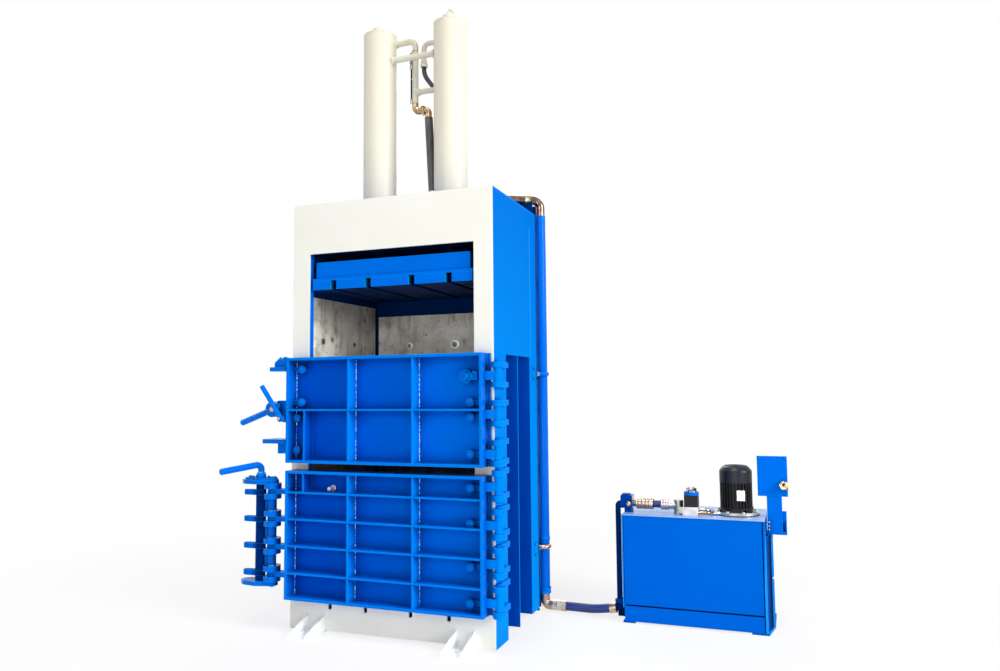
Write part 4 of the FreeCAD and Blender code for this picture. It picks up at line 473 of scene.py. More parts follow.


# Each enamel's depth gives painted shade in its hollows, and its light colour a painted highlight on its
# edges.
finish = {
    "cream_paint": enamel("cream_enamel", (0.765, 0.76, 0.70), (0.74, 0.735, 0.67), (0.84, 0.84, 0.80), 0.42),
    "blue_paint": enamel("blue_enamel", BLUE, BLUE_DARK, BLUE_SPECK_AND_HIGHLIGHT, 0.45, **SATIN, depth=0.13),
    "blue_gloss": enamel("blue_gloss_enamel", BLUE, BLUE_DARK, (0.0, 0.38, 0.96), 0.24, **GLOSS,
                         level=0.25, depth=0.09),
    "lock_blue": enamel("lock_enamel", (0.0, 0.135, 0.66), (0.0, 0.12, 0.61), (0.0, 0.44, 0.98), 0.18,
                        edge=0.004, ior=1.24, tint=(0.12, 0.7, 1.0), depth=0.2),
    # Painted shade: the lock shaft darkens towards the hinge tube.
    "shaft_painted_shade": painted_falloff_enamel("shaft_painted_shade_enamel", "X", (-0.990, (0.0, 0.12, 0.62)),
                               (-0.940, (0.0, 0.02, 0.14)), 0.3),
    # Painted shade: a darker blue for recessed faces.
    "recess_painted_shade": enamel("recess_painted_shade_enamel", (0.0, 0.072, 0.44), (0.0, 0.060, 0.39), BLUE_SPECK_AND_HIGHLIGHT, 0.45, **SATIN),
    "pale_brass": machined("pale_brass", (0.80, 0.71, 0.57), 0.34, LEVEL, (0.46, 0.34, 0.22)),
    "bright_zinc": machined("bright_zinc", (0.96, 0.96, 0.98), 0.42, EVEN),
    # Painted light: the right side frame gets lighter towards the bottom.
    "side_painted_falloff": painted_falloff_enamel("side_painted_falloff_enamel", "Z", (0.8, (0.0, 0.235, 0.72)), (2.9, (0.0, 0.142, 0.56)), 0.45),
    # Painted light and shade: the door panels darken towards the left, with painted shade in their hollows.
    "panel_painted_falloff": painted_falloff_enamel("panel_painted_falloff_enamel", "X", (-0.45, (0.0, 0.080, 0.56)),
                               (0.45, (0.0, 0.138, 0.68)), 0.4, depth=0.12),
    # Painted light and shade: lit at the platen slots' front, falling to near black inside.
    "slot_painted_falloff": painted_falloff_enamel("slot_painted_falloff_enamel", "Y", (-0.46, (0.0, 0.38, 1.0)), (-0.40, (0.0, 0.01, 0.06)), 0.5),
    # Painted light: a lighter blue for the ribs' faces towards the light.
    "rib_painted_light": enamel("rib_painted_light_enamel", (0.0, 0.215, 0.80), (0.0, 0.20, 0.77), (0.0, 0.36, 0.95), 0.3, **GLOSS,
                       depth=0.05),
    # Painted light: a lighter blue for the hinge ears, knuckles and hook ring.
    "ear_painted_light": enamel("ear_painted_light_enamel", (0.0, 0.20, 0.76), (0.0, 0.18, 0.72), (0.0, 0.48, 1.0), 0.36,
                       edge=0.003, ior=1.12, tint=(0.02, 0.5, 1.0), level=0.12, depth=0.11),
    # Painted light: a lighter blue for the door rims' front faces.
    "rim_painted_light": enamel("rim_painted_light_enamel", (0.0, 0.165, 0.73), (0.0, 0.155, 0.70), (0.0, 0.36, 0.95), 0.3, **GLOSS),
    # Painted shade: the tank's end web darkens towards the back.
    "web_painted_shade": painted_falloff_enamel("web_painted_shade_enamel", "Y", (0.38, (0.0, 0.085, 0.47)), (0.52, (0.0, 0.008, 0.05)), 0.5),
    # Painted highlight: a light blue for lit edges, tops and strips.
    "painted_highlight_blue": enamel("painted_highlight_enamel", BLUE_SPECK_AND_HIGHLIGHT, (0.0, 0.25, 0.84), (0.02, 0.36, 0.92), 0.4, ior=1.2),
    "tank_blue": enamel("tank_enamel", (0.0, 0.116, 0.58), (0.0, 0.109, 0.555), BLUE_SPECK_AND_HIGHLIGHT, 0.45, **SATIN,
                        depth=0.05),
    # Painted shade: dark navy where the object lies in deep shade.
    "painted_shade_navy": enamel("painted_shade_navy_enamel", SHADE_NAVY, (0.0, 0.015, 0.08), (0.0, 0.04, 0.18), 0.5,
                         edge=0.002, ior=1.2, tint=BLUE_SHEEN, level=0.2),
    "pipe_blue": enamel("pipe_enamel", (0.0, 0.125, 0.60), (0.0, 0.115, 0.57), BLUE_SPECK_AND_HIGHLIGHT, 0.16,
                        edge=0.002, ior=1.22, tint=(0.3, 0.8, 1.0)),
    # Painted shade: a darker blue for parts that lie in shade.
    "deep_painted_shade": enamel("deep_painted_shade_enamel", (0.0, 0.045, 0.26), (0.0, 0.036, 0.22), BLUE, 0.3,
                        edge=0.002, ior=1.15, tint=(0.05, 0.5, 1.0), level=0.25),
    "ivory_paint": enamel("ivory_enamel", (0.685, 0.655, 0.535), (0.66, 0.625, 0.505), (0.75, 0.72, 0.61),
                          0.4, edge=0.003, ior=1.3),
    "pale_lid_paint": enamel("pale_enamel", (0.25, 0.41, 0.74), (0.21, 0.37, 0.70), (0.7, 0.78, 0.93),
                             ior=1.35),
    "black_paint": enamel("black_enamel", (0.010, 0.013, 0.022), (0.006, 0.008, 0.014), (0.05, 0.06, 0.085),
                          0.36, edge=0.0015, ior=1.32),
    "blue_bead": bead_enamel("blue_weld_bead", (0.0, 0.17, 0.74), (0.60, 0.95, 1.0)),
    "ivory_bead": bead_enamel("ivory_weld_bead", (0.72, 0.68, 0.53), (0.9, 0.88, 0.8)),
    "brass": machined("stained_brass", (0.60, 0.44, 0.25), 0.2, stain=(0.13, 0.075, 0.04)),
    "copper": machined("copper_ferrule", (0.60, 0.44, 0.35), 0.26, LEVEL, (0.40, 0.25, 0.18)),
    "rosy_steel": machined("rosy_ferrule", (0.60, 0.54, 0.54), 0.22, LEVEL, (0.44, 0.34, 0.33)),
    "grey_steel": machined("grey_fitting", (0.50, 0.50, 0.47), 0.3, stain=(0.20, 0.19, 0.17)),
    "blue_hose": hose_cover("blue_hose_cover", *HOSE_BLUE),
    # Near black for dark joints, and painted shade on the chamber's ceiling and the platen's undersides.
    "joint_and_painted_shade": enamel("joint_and_painted_shade", (0.0, 0.009, 0.055), (0.0, 0.006, 0.035), (0.0, 0.02, 0.10), 0.5,
                         edge=0.002, ior=1.13, tint=(0, 0.3, 1), level=0.1),
    "wear_steel": worn_plate("wear_steel"),
    # Painted light: a lighter copy of the wear plate, with painted shade at its top.
    "side_wear_painted_light": worn_plate("side_wear_painted_light_steel", level=1.3, top_shade=0.6),
    # Painted light: a paler paint for the anchor feet than for the front plate.
    "foot_painted_light": enamel("foot_painted_light_enamel", (0.94, 0.96, 0.95), (0.91, 0.93, 0.92), (0.97, 0.98, 0.98), 0.42),
    "worn_rim": machined("worn_rim", (0.86, 0.87, 0.82), 0.5, EVEN, (0.50, 0.49, 0.44)),
    "dark_steel": machined("dark_steel", (0.20, 0.20, 0.21), 0.42),
    "plated_steel": machined("plated_steel", (0.66, 0.67, 0.69), 0.22, stain=(0.30, 0.29, 0.28)),
    "bare_pipe": machined("bronzed_pipe", (0.27, 0.20, 0.17), 0.14, LEVEL, (0.12, 0.06, 0.035)),
    "yellow_zinc": machined("yellow_zinc", (0.62, 0.50, 0.32), 0.22, stain=(0.27, 0.15, 0.065)),
    "hard_chrome": machined("hard_chrome", (0.86, 0.87, 0.89), 0.12),
    "hose_rubber": hose_cover("hose_cover", (0.075, 0.075, 0.078), (0.020, 0.021, 0.024)),
    "steel_disc": machined("steel_disc", (0.60, 0.60, 0.55), 0.36, EVEN, (0.36, 0.35, 0.31)),
    "dull_chrome": machined("dull_chrome", (0.46, 0.48, 0.52), 0.14, LEVEL, (0.16, 0.17, 0.2)),
    "pump_aluminium": machined("cast_aluminium", (0.72, 0.72, 0.70), 0.40, EVEN, (0.46, 0.45, 0.42)),
    "plain_aluminium": machined("plain_aluminium", (0.80, 0.81, 0.83), 0.22, EVEN),
    "black_plastic": moulded("black_plastic", (0.012, 0.012, 0.014)),
}

# Nodes whose look isn't their material slot's, under the finish that they get instead.
OTHER_FINISHES = {
    "blue_gloss": ("upper_door", "lower_door", "hinge_pins", "lock_lugs", "platen"),
    "ear_painted_light": ("hinge_ears", "upper_door_knuckles", "lower_door_knuckles"),
    "lock_blue": ("lock_hinge_pin", "lock_frame", "lock_crank", "latch_hub", "latch_lever", "latch_bracket",
                  "door_keepers", "upper_door_bosses", "lower_door_bosses"),
    "shaft_painted_shade": ("lock_shaft",),
    # The riser and the deck block are painted in shade.
    "painted_shade_navy": ("tank_riser", "deck_block"),
    "black_plastic": ("motor_housing",),
    "steel_disc": ("pump_bell",),
    "side_painted_falloff": ("right_side_frame",),
    "pipe_blue": ("side_pipe",),
    "tank_blue": ("tank_shell",),
    "foot_painted_light": ("anchor_feet",),
}


def finish_nodes():
    other = {node: name for name, group in OTHER_FINISHES.items() for node in group}
    for part in frame["record"]["subparts"]:
        materials = nodes[part["node"]].data.materials
        materials.clear()
        materials.append(finish[other.get(part["node"], part["material_slot"])])


# ------------------------------------------------------------------ areas with their own finish, in mm
def dress(node, *zones):
    """Gives areas of one node their own finish. A zone is (finish, low corner, high corner, facing)."""
    mesh = nodes[node].data
    for name, low, high, facing in zones:
        mesh.materials.append(finish[name])
        for face in mesh.polygons:
            inside = all(a <= c * 1000 <= b for a, c, b in zip(low, face.center, high))
            if inside and (facing is None or face.normal.dot(Vector(facing)) > 0.9):
                face.material_index = len(mesh.materials) - 1


def zone(name, x0, x1, y0=-999, y1=999, z0=0, z1=4500, facing=None):
    return name, (x0, y0, z0), (x1, y1, z1), facing


def dress_oil_lines():
    # The inlet block gets painted shade.
    dress("inlet_line", zone("deep_painted_shade", 1340, 1431), zone("dark_steel", 1432.5, 1462),
          zone("copper", 1462, 1573), zone("blue_hose", 1574, 1625), zone("rosy_steel", 1626.5, 1687),
          zone("plated_steel", 1886, 2030, 466, 560), zone("brass", 1886, 2030, 430, 465))
    dress("valve_block", zone("grey_steel", 1686, 1780))
    dress("valve_coil", zone("blue_paint", 1789, 1891, z0=873, z1=892.5),
          zone("dull_chrome", 1800, 1880, z0=893.5))
    dress("port_fittings", zone("ivory_bead", 10, 70, -44, 14, 3990, 4050),
          zone("brass", -37, 130, z0=3580, z1=3715), zone("grey_steel", 96, 220, z0=2970, z1=3135),
          zone("plated_steel", -53, -26, z0=3716, z1=4090))
    dress("cylinder_hoses", zone("black_plastic", -50, -30))
    dress("side_pipe_fittings", zone("blue_paint", 700, 830, z0=127.5, z1=175),
          zone("copper", 730, 841.5, z1=127.4), zone("pale_brass", 842, 940), zone("yellow_zinc", 1250, 1300),
          # Painted shade on the elbows at the tank's left end and on the lower fittings.
          zone("painted_shade_navy", 1298, 1375, z0=20), zone("deep_painted_shade", 1290, 1375, z0=107.5))
    dress("pipe_clamps", zone("grey_steel", 738, 830, z0=1600), zone("copper", 738, 830, z1=600))
    dress("panel_plate", zone("brass", 2408, 2475, 470, 511.5, 920, 980))


def dress_chamber():
    # Painted shade inside the chamber: navy on the walls' inner faces, a darker blue in the right frame's
    # recesses, near black on the ceiling and the platen's undersides, and slots that fall off from lit fronts
    # to dark.
    dress("rear_wall", zone("painted_shade_navy", -751, 751, 405, 407, facing=AHEAD))
    dress("left_side_frame", zone("painted_shade_navy", -627, -592, -432, 407, facing=RIGHT))
    dress("right_side_frame", zone("painted_shade_navy", 592, 627, -432, 407, facing=LEFT),
          zone("recess_painted_shade", 600, 751, -260, 250, 5, 1838, AHEAD),
          zone("recess_painted_shade", 600, 740, -260, 260, 5, 1838, RIGHT),
          zone("recess_painted_shade", 600, 751, -260, 250, 5, 1838, DOWN))
    dress("head_yoke", zone("joint_and_painted_shade", -630, 630, z0=2562, z1=2564, facing=DOWN))
    dress("platen", zone("joint_and_painted_shade", -620, 620, z0=2370, z1=2374, facing=DOWN))
    dress("platen_pads", zone("painted_shade_navy", -620, 620, z0=2309, z1=2311, facing=DOWN),
          zone("slot_painted_falloff", -570, 570, facing=RIGHT), zone("joint_and_painted_shade", -570, 570, facing=LEFT))
    # Painted light on the left liner, with painted shade at its top.
    dress("side_liners", zone("side_wear_painted_light", -630, -580, facing=RIGHT))
    dress("liner_bolts", zone("wear_steel", -620, -585), zone("wear_steel", 585, 620),
          zone("grey_steel", -320, 520))


def dress_doors():
    for door in DOORS:
        # Painted light and shade: panels that darken to the left, darker faces on the short stiffeners, and
        # lighter rims and rib faces.
        dress(door, zone("panel_painted_falloff", -701, 701, -508, -506, facing=AHEAD),
              zone("rim_painted_light", -719, 719, -606, -600, facing=AHEAD),
              zone("panel_painted_falloff", -600, -560, -600, -507, facing=RIGHT),
              zone("rib_painted_light", -300, 600, -606, -507, facing=RIGHT))
    # Painted highlight on the hinge ears' tops.
    dress("hinge_ears", zone("painted_highlight_blue", 700, 900, facing=UP))
    dress("latch_pins", zone("copper", -860, -820))


def dress_tank():
    # Painted highlights on the tank's edges, and painted shade on its end web.
    dress("tank_shell", zone("painted_highlight_blue", 2306, 2319, 356, 362, 10, 729, AHEAD),
          zone("web_painted_shade", 2300, 2348, 362, 548, 13, 729, RIGHT),
          zone("painted_highlight_blue", 2345, 2360, 534, 536, 10, 625), zone("painted_highlight_blue", 2315, 2360, 361, 540, 0, 12.5))


# ------------------------------------------------------------------ added pieces, in mm
def mm(x, y, z):
    return Vector((x, y, z)) / 1000


def settle(name, bm, material, body):
    """Turns a bmesh into a piece of the scene that rides on a body."""
    mesh = bpy.data.meshes.new(name)
    bmesh.ops.recalc_face_normals(bm, faces=bm.faces)
    bm.to_mesh(mesh)
    bm.free()
    for face in mesh.polygons:
        face.use_smooth = True
    mesh.set_sharp_from_angle(angle=math.radians(38))
    mesh.materials.append(finish[material])
    piece = bpy.data.objects.new(name, mesh)
    bpy.context.scene.collection.objects.link(piece)
    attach(piece, body)


def ring_points(centre, axis, radius, count):
    """Points round an axis, in metres."""
    axis = Vector(axis).normalized()
    side = axis.orthogonal().normalized()
    other = axis.cross(side)
    return [centre + radius * (math.cos(math.tau * i / count) * side + math.sin(math.tau * i / count) * other)
            for i in range(count)]


def stitch(bm, rings, closed=False):
    """Joins rings of equal count with quads. The last ring meets the first, or else the ends are capped."""
    made = [[bm.verts.new(point) for point in ring] for ring in rings]
    following = made[1:] + made[:1] if closed else made[1:]
    for first, second in zip(made, following):
        for i in range(len(first)):
            j = (i + 1) % len(first)
            bm.faces.new((first[i], first[j], second[j], second[i]))
    if not closed:
        bm.faces.new(made[0][::-1])
        bm.faces.new(made[-1])


def turned(bm, profile, base, axis, count=40, closed=False):
    """A turned form: profile pairs are (distance along the axis, radius). A closed one has a bore."""
    axis = Vector(axis).normalized()
    rings = [ring_points(mm(*base) + axis * distance / 1000, axis, max(radius, 0.05) / 1000, count)
             for distance, radius in profile]
    stitch(bm, rings, closed)


def turned_piece(name, profile, base, axis, count, material, body, closed=False):
    bm = bmesh.new()
    turned(bm, profile, base, axis, count, closed)
    settle(name, bm, material, body)


def hexagonal(bm, base, axis, across, height):
    """A nut or bolt head with a chamfered crown."""
    turned(bm, [(0, across * 0.577), (height * 0.8, across * 0.577), (height, across * 0.5)], base, axis, 6)


def bead(bm, start, end, corner, radius):
    """A weld bead along an inside corner: overlapping scales, 5 mm apart."""
    start, end = mm(*start), mm(*end)
    run = end - start
    axis = run.normalized()
    shift = Vector(corner).normalized() * radius * 0.35 / 1000
    count = max(2, int(run.length / 0.0025))
    rings = []
    for i in range(count + 1):
        swell = (1.12, 0.86)[i % 2] * (0.35 if i in (0, count) else 1.0)
        wander = 1 + 0.12 * math.sin(i * 0.37) * math.cos(i * 0.11)
        rings.append(ring_points(start + shift + run * i / count, axis, radius * swell * wander / 1000, 6))
    stitch(bm, rings)


def ring_bead(bm, centre, ring_radius, count, facing, radius):
    """A weld bead round an upright tube, made of short beads."""
    points = [point * 1000 for point in ring_points(mm(*centre), UP, ring_radius / 1000, count)]
    for start, end in zip(points, points[1:] + points[:1]):
        bead(bm, start, end, facing, radius)


def block(bm, low, high):
    """A box between two corners."""
    (x0, y0, z0), (x1, y1, z1) = low, high
    stitch(bm, [[mm(x, y, z) for x, y in ((x0, y0), (x1, y0), (x1, y1), (x0, y1))] for z in (z0, z1)])


def tube_piece(name, points, radius, material, body):
    """A bent tube along a smooth curve through a few points."""
    curve = bpy.data.curves.new(name, "CURVE")
    curve.dimensions = "3D"
    line = curve.splines.new("BEZIER")
    line.bezier_points.add(len(points) - 1)
    for knot, place in zip(line.bezier_points, points):
        knot.co = mm(*place)
        knot.handle_left_type = knot.handle_right_type = "AUTO"
    curve.bevel_depth = radius / 1000
    curve.bevel_resolution = 5
    curve.use_fill_caps = True
    curve.materials.append(finish[material])
    piece = bpy.data.objects.new(name, curve)
    bpy.context.scene.collection.objects.link(piece)
    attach(piece, body)


# ------------------------------------------------------------------ doors
PLATE = -507                 # front of the doors' back plates
DOORS = {                    # bottom and top of the welds, and the heights of the level ribs
    "upper_door": ((1143, 1817), (1480,)),
    "lower_door": ((237, 1054), (392, 570.5, 749, 927.5)),
}
RIB_HALF = 6
WELD_X = (-700, -230, 242)
BOSSES = {
    "upper_door": ((-629, 1758), (-631, 1530), (-663, 1426), (-663, 1207),
                   (620, 1524), (620, 1435), (618, 1201)),
    "lower_door": ((617, 994), (616, 775), (614, 513), (612, 291)),
}
BOSS_FRONT = -555
STRAP_HOOK = (588, 1690)
CATCH_BOLT = (-402, 955)
HINGE_AXIS = (795, -530)
# Centre and height of each hinge, three on the upper door and four on the lower one.
HINGES = [(z, 162) for z in (1211, 1458, 1699)] + [(z, 190) for z in (309, 544, 777, 1011)]


def door_welds():
    for door, ((bottom, top), levels) in DOORS.items():
        bm = bmesh.new()
        stops = [bottom] + [z for level in levels for z in (level - RIB_HALF, level + RIB_HALF)] + [top]
        for x in WELD_X:
            for low, high in zip(stops[::2], stops[1::2]):
                bead(bm, (x, PLATE, low + 2), (x, PLATE, high - 2), (1, -1, 0), 3.6)
        settle(door + "_welds", bm, "blue_bead", door)


def boss_heads():
    for door, places in BOSSES.items():
        bm = bmesh.new()
        for x, z in places:
            turned(bm, [(-1, 30.3), (3, 29.6), (7, 26.5), (10, 20), (12, 11), (12.6, 0)],
                   (x, BOSS_FRONT, z), AHEAD)
            turned(bm, [(0, 7), (3, 6.6), (5, 4), (5.6, 0)], (x + 4, BOSS_FRONT - 12, z + 4), AHEAD, 16)
        settle(door + "_boss_heads", bm, "lock_blue", door)


def strap_hook_fittings():
    """The hook's open ring in painted light, with its nuts and pin, and behind it a dark disc of painted
    shade.
    """
    x, z = STRAP_HOOK
    bm = bmesh.new()
    steps = 40
    rings = []
    for i in range(steps + 1):
        angle = math.radians(55 + 250 * i / steps)
        centre = mm(x + 35 * math.cos(angle), -535, z + 35 * math.sin(angle))
        rings.append(ring_points(centre, (-math.sin(angle), 0, math.cos(angle)), 0.011, 14))
    stitch(bm, rings)
    for aside in (18, 52):
        hexagonal(bm, (x + aside, -571, z), AHEAD, 19, 9)
    turned(bm, [(0, 15), (8, 15), (10, 13), (10.4, 0)], (x + 66, -560, z + 22), UP, 20)
    settle("strap_hook_ring", bm, "ear_painted_light", "upper_door")
    turned_piece("strap_hook_shade_disc", [(0, 27), (2, 27), (2.2, 0)], (x, PLATE, z), AHEAD, 32, "painted_shade_navy",
                 "upper_door")


def catch_bolt():
    """The bolt's washer, inner nut, shank, outer nut and end."""
    x, z = CATCH_BOLT
    bm = bmesh.new()
    turned(bm, [(0, 21.5), (4.5, 21.5), (5, 20), (5.2, 0)], (x, PLATE, z), AHEAD, 32)
    hexagonal(bm, (x, -511, z), AHEAD, 33, 17)
    turned(bm, [(0, 10), (30, 10)], (x, -526, z), AHEAD, 20)
    hexagonal(bm, (x, -545, z), AHEAD, 29, 13)
    turned(bm, [(0, 9.6), (6, 9.6), (8, 8), (8.2, 0)], (x, -557, z), AHEAD, 20)
    settle("catch_bolt_nuts", bm, "bright_zinc", "lower_door")


def hinge_heads():
    """Domed heads above the hinges and flat ends below them."""
    bm = bmesh.new()
    domed = [(-2, 20.6), (3, 20.2), (7, 17.5), (10, 12), (11.4, 5), (11.6, 0)]
    flat = [(-2, 20.6), (3, 20), (5, 17), (5.4, 0)]
    for z, height in HINGES:
        turned(bm, domed, (*HINGE_AXIS, z + height / 2 + 9), UP, 28)
        turned(bm, flat, (*HINGE_AXIS, z - height / 2 - 4), DOWN, 28)
    settle("hinge_pin_heads", bm, "blue_gloss", "frame")


# ------------------------------------------------------------------ lock and latch
LOCK_HINGE = (-860, -545)
LOCK_SHAFT = (-957, -545)
LOCK_LEVELS = (372, 557, 742, 927)
LOCK_EYE_HALF = 52.6         # from a level to the end of its hinge tube
LATCH_LEVER = (-746, 1422)


def lock_fittings():
    bm = bmesh.new()
    for x, y in ((-905, -530), (-1016, -558), (-1052, -540), (-1012, -520)):
        turned(bm, [(0, 16), (2, 16), (2.2, 0)], (x, y, 1015), UP, 24)
        turned(bm, [(0, 12), (4, 11.4), (8, 8.5), (10, 4), (10.6, 0)], (x, y, 1017), UP, 24)
    settle("lock_bolt_heads", bm, "lock_blue", "lock_carrier")
    beads = bmesh.new()
    for level in LOCK_LEVELS:
        if level < LOCK_LEVELS[-1]:
            ring_bead(beads, (*LOCK_HINGE, level + LOCK_EYE_HALF), 29.2, 40, UP, 3.2)
        if level > LOCK_LEVELS[0]:
            ring_bead(beads, (*LOCK_HINGE, level - LOCK_EYE_HALF), 29.2, 40, DOWN, 3.2)
    settle("lock_welds", beads, "blue_bead", "lock_carrier")
    rim = bmesh.new()
    ring_bead(rim, (*LOCK_SHAFT, 1049.6), 22.5, 40, UP, 3.0)
    settle("shaft_welds", rim, "blue_bead", "lock_shaft")
    turned_piece("crank_handle_end", [(-2, 22.2), (3, 21.4), (7, 18.6), (10, 13.5), (11.6, 7), (12.2, 0)],
                 (-1071.5, -814.7, 1074.6), (-0.3887, -0.9155, -0.1052), 40, "lock_blue", "lock_shaft")


def latch_fittings():
    turned_piece("latch_handle_end", [(-2, 19.3), (3, 18.7), (7, 16), (9.5, 11), (10.6, 5), (11, 0)],
                 (-1096.6, -578, 1392), (-0.9397, 0, -0.342), 40, "lock_blue", "latch_hub")
    turned_piece("latch_hub_bolt", [(0, 12), (0.5, 12), (0.8, 10.5), (0.9, 0)], (-841, -596.6, 1485), AHEAD,
                 28, "pale_brass", "frame")
    x, z = LATCH_LEVER
    nut = bmesh.new()
    hexagonal(nut, (x, -645, z), AHEAD, 22, 8)
    turned(nut, [(0, 6.5), (4, 6.5), (6, 4.5), (6.2, 0)], (x, -653, z), AHEAD, 16)
    settle("latch_lever_nut", nut, "plated_steel", "frame")


# ------------------------------------------------------------------ cylinders, pipes and hoses
CYLINDER_X = 287
PORT_PIPE = (-10.5, -60)
BYPASS = (-40.5, -60)
SIDE_PIPE = (778, 465)
SIDE_PIPE_CLAMPS = (("lower", 466, "copper"), ("upper", 1720, "blue_gloss"))
FERRULE_RADIUS = 36
FERRULES = (
    # name, from and to along X, y, z, ribs, finish
    ("floor_hose_ferrule", 866, 938, 465, 46, 5, "pale_brass"),
    ("inlet_ferrule_ribs", 1468, 1572, 490, 797, 4, "copper"),
    ("outlet_ferrule_ribs", 1628, 1684, 490, 797, 3, "rosy_steel"),
)
INLET_PLUG = (1406, 795)


def cylinder_fittings():
    beads = bmesh.new()
    for x in (-CYLINDER_X, CYLINDER_X):
        ring_bead(beads, (x, -85, 4251), 122.5, 96, UP, 2.2)
    settle("shoulder_welds", beads, "ivory_bead", "frame")
    bm = bmesh.new()
    turned(bm, [(0, 24), (2, 27.5), (9, 27.5), (12, 24)], (*PORT_PIPE, 4062), DOWN, 32)
    turned(bm, [(0, 24), (2, 26), (5, 26), (7, 24)], (*PORT_PIPE, 3900), DOWN, 32)
    settle("pipe_joint_rings", bm, "ivory_bead", "frame")
    turned_piece("bypass_ferrule",
                 [(0, 12), (2, 14), (12, 14), (14, 10.5), (26, 10.5), (28, 12.5), (58, 12.5), (60, 9)],
                 (*BYPASS, 4034), DOWN, 20, "plated_steel", "frame")
    bronze = bmesh.new()
    turned(bronze, [(0, 10), (2, 13), (12, 13), (14, 10)], (*BYPASS, 4100), DOWN, 6)
    turned(bronze, [(0, 23.5), (1, 25), (6, 25), (7, 23.5)], (*PORT_PIPE, 4112), DOWN, 32)
    settle("bypass_nut", bronze, "brass", "frame")


def ribbed_shell(bm, x0, x1, y, z, ribs):
    """A crimped ferrule's outside: raised bands between shallow grooves."""
    radius = FERRULE_RADIUS
    pitch = (x1 - x0 - 4) / ribs
    profile = [(0, radius - 2.5), (1.5, radius + 0.4)]
    for i in range(ribs):
        start = 2 + i * pitch
        profile += [(start + pitch * 0.08, radius + 1.3), (start + pitch * 0.74, radius + 1.3),
                    (start + pitch * 0.82, radius + 0.3), (start + pitch * 0.99, radius + 0.3)]
    profile += [(x1 - x0 - 1, radius + 0.4), (x1 - x0, radius - 2.5)]
    turned(bm, profile, (x0, y, z), RIGHT, 44)


def hose_fittings():
    for name, x0, x1, y, z, ribs, material in FERRULES:
        bm = bmesh.new()
        ribbed_shell(bm, x0, x1, y, z, ribs)
        settle(name, bm, material, "frame")
    x, z = INLET_PLUG
    plug = bmesh.new()
    turned(plug, [(0, 17), (4, 17), (5, 15.5), (5.2, 0)], (x, 448, z), AHEAD, 28)
    hexagonal(plug, (x, 443.5, z), AHEAD, 24, 8)
    settle("inlet_plug", plug, "brass", "frame")


def pipe_shade_strip():
    """Dark strip behind the side pipe, open at the clamps: painted shade between the frame and the pipe."""
    shade_strip = bmesh.new()
    for low, high in ((180, 430), (502, 1684), (1756, 3004)):
        block(shade_strip, (696, 505.5, low), (742, 509.5, high))
    block(shade_strip, (696, 505.5, 14), (733, 509.5, 180))
    settle("pipe_shade_strip", shade_strip, "deep_painted_shade", "frame")


def pipe_clamp(name, z, material):
    """A plate on the frame with four bolts, a stud and the bent rod that holds the pipe."""
    plate = bmesh.new()
    block(plate, (750, 292, z - 50), (757, 396, z + 50))
    settle(name + "_clamp_plate", plate, "side_painted_falloff", "frame")
    bolts = bmesh.new()
    for y in (308, 380):
        for level in (z - 36, z + 36):
            hexagonal(bolts, (757, y, level), RIGHT, 16, 7)
    settle(name + "_clamp_bolts", bolts, "deep_painted_shade", "frame")
    turned_piece(name + "_clamp_stud", [(0, 24), (10, 24), (12, 19), (30, 19), (34, 15)], (752, 374, z),
                 (0.4, 0.92, 0), 24, "plated_steel", "frame")
    tube_piece(name + "_clamp_rod",
               [(762, 398, z), (778, 408, z), (798, 415, z), (812, 430, z), (819, 450, z)],
               17, material, "frame")


def side_pipe_details():
    pipe_shade_strip()
    for name, z, material in SIDE_PIPE_CLAMPS:
        pipe_clamp(name, z, material)
    turned_piece("deck_pipe_collar",
                 [(-22, 34), (-20, 37.5), (-4, 37.5), (-2, 36), (4, 36), (6, 38), (20, 38), (22, 34)],
                 (690, 413.6, 3032), (582, 340, 0), 40, "yellow_zinc", "frame")
    # A thin bead in the light blue: a painted highlight line down the side panel.
    highlight_line = bmesh.new()
    bead(highlight_line, (750, 268, 1850), (750, 268, 2790), RIGHT, 2.6)
    settle("side_panel_highlight_bead", highlight_line, "painted_highlight_blue", "frame")
    ring = bmesh.new()
    turned(ring, [(0, 38), (2, 41), (24, 41), (28, 38)], (*SIDE_PIPE, 506), UP)
    turned(ring, [(0, 38), (2, 44.5), (9, 44.5), (12, 42.7), (30, 42.7), (33, 44.5), (40, 44.5), (43, 38)],
           (*SIDE_PIPE, 129), UP)
    settle("pipe_joints", ring, "blue_gloss", "frame")


# ------------------------------------------------------------------ tank, panel and motor
TANK_SEAMS = (
    # low and high corner of each dark joint between the tank's covers
    ((1391, 356.6, 115.5), (2297, 359.2, 125.5)),
    ((2297, 356.2, 18), (2303, 358.5, 727)),
    ((1382, 356.2, 102), (1384.4, 358.5, 727)),
)
EDGE_WELDS = 20
EDGE_WELD_PITCH = 31
GLAND = (2441, 957)
MOTOR = (2127, 600)


def tank_fittings():
    bm = bmesh.new()
    for low, high in TANK_SEAMS:
        block(bm, low, high)
    settle("tank_seams", bm, "joint_and_painted_shade", "frame")
    # Beads on the tank's left edge, in the light blue of a painted highlight.
    beads = bmesh.new()
    for i in range(EDGE_WELDS):
        z = 108 + i * EDGE_WELD_PITCH
        bead(beads, (1377, 356.6, z), (1377, 356.6, z + EDGE_WELD_PITCH - 2), AHEAD, 3.0)
    settle("tank_edge_welds", beads, "painted_highlight_blue", "frame")
    screws = bmesh.new()
    for z in (652, 676, 701):
        turned(screws, [(0, 6.5), (2, 6.2), (4, 4.2), (4.8, 0)], (2338, 511, z), AHEAD, 18)
    turned(screws, [(0, 8), (2, 8), (4, 6), (4.4, 0)], (2352, 535, 331), AHEAD, 18)
    settle("panel_post_screws", screws, "plated_steel", "frame")


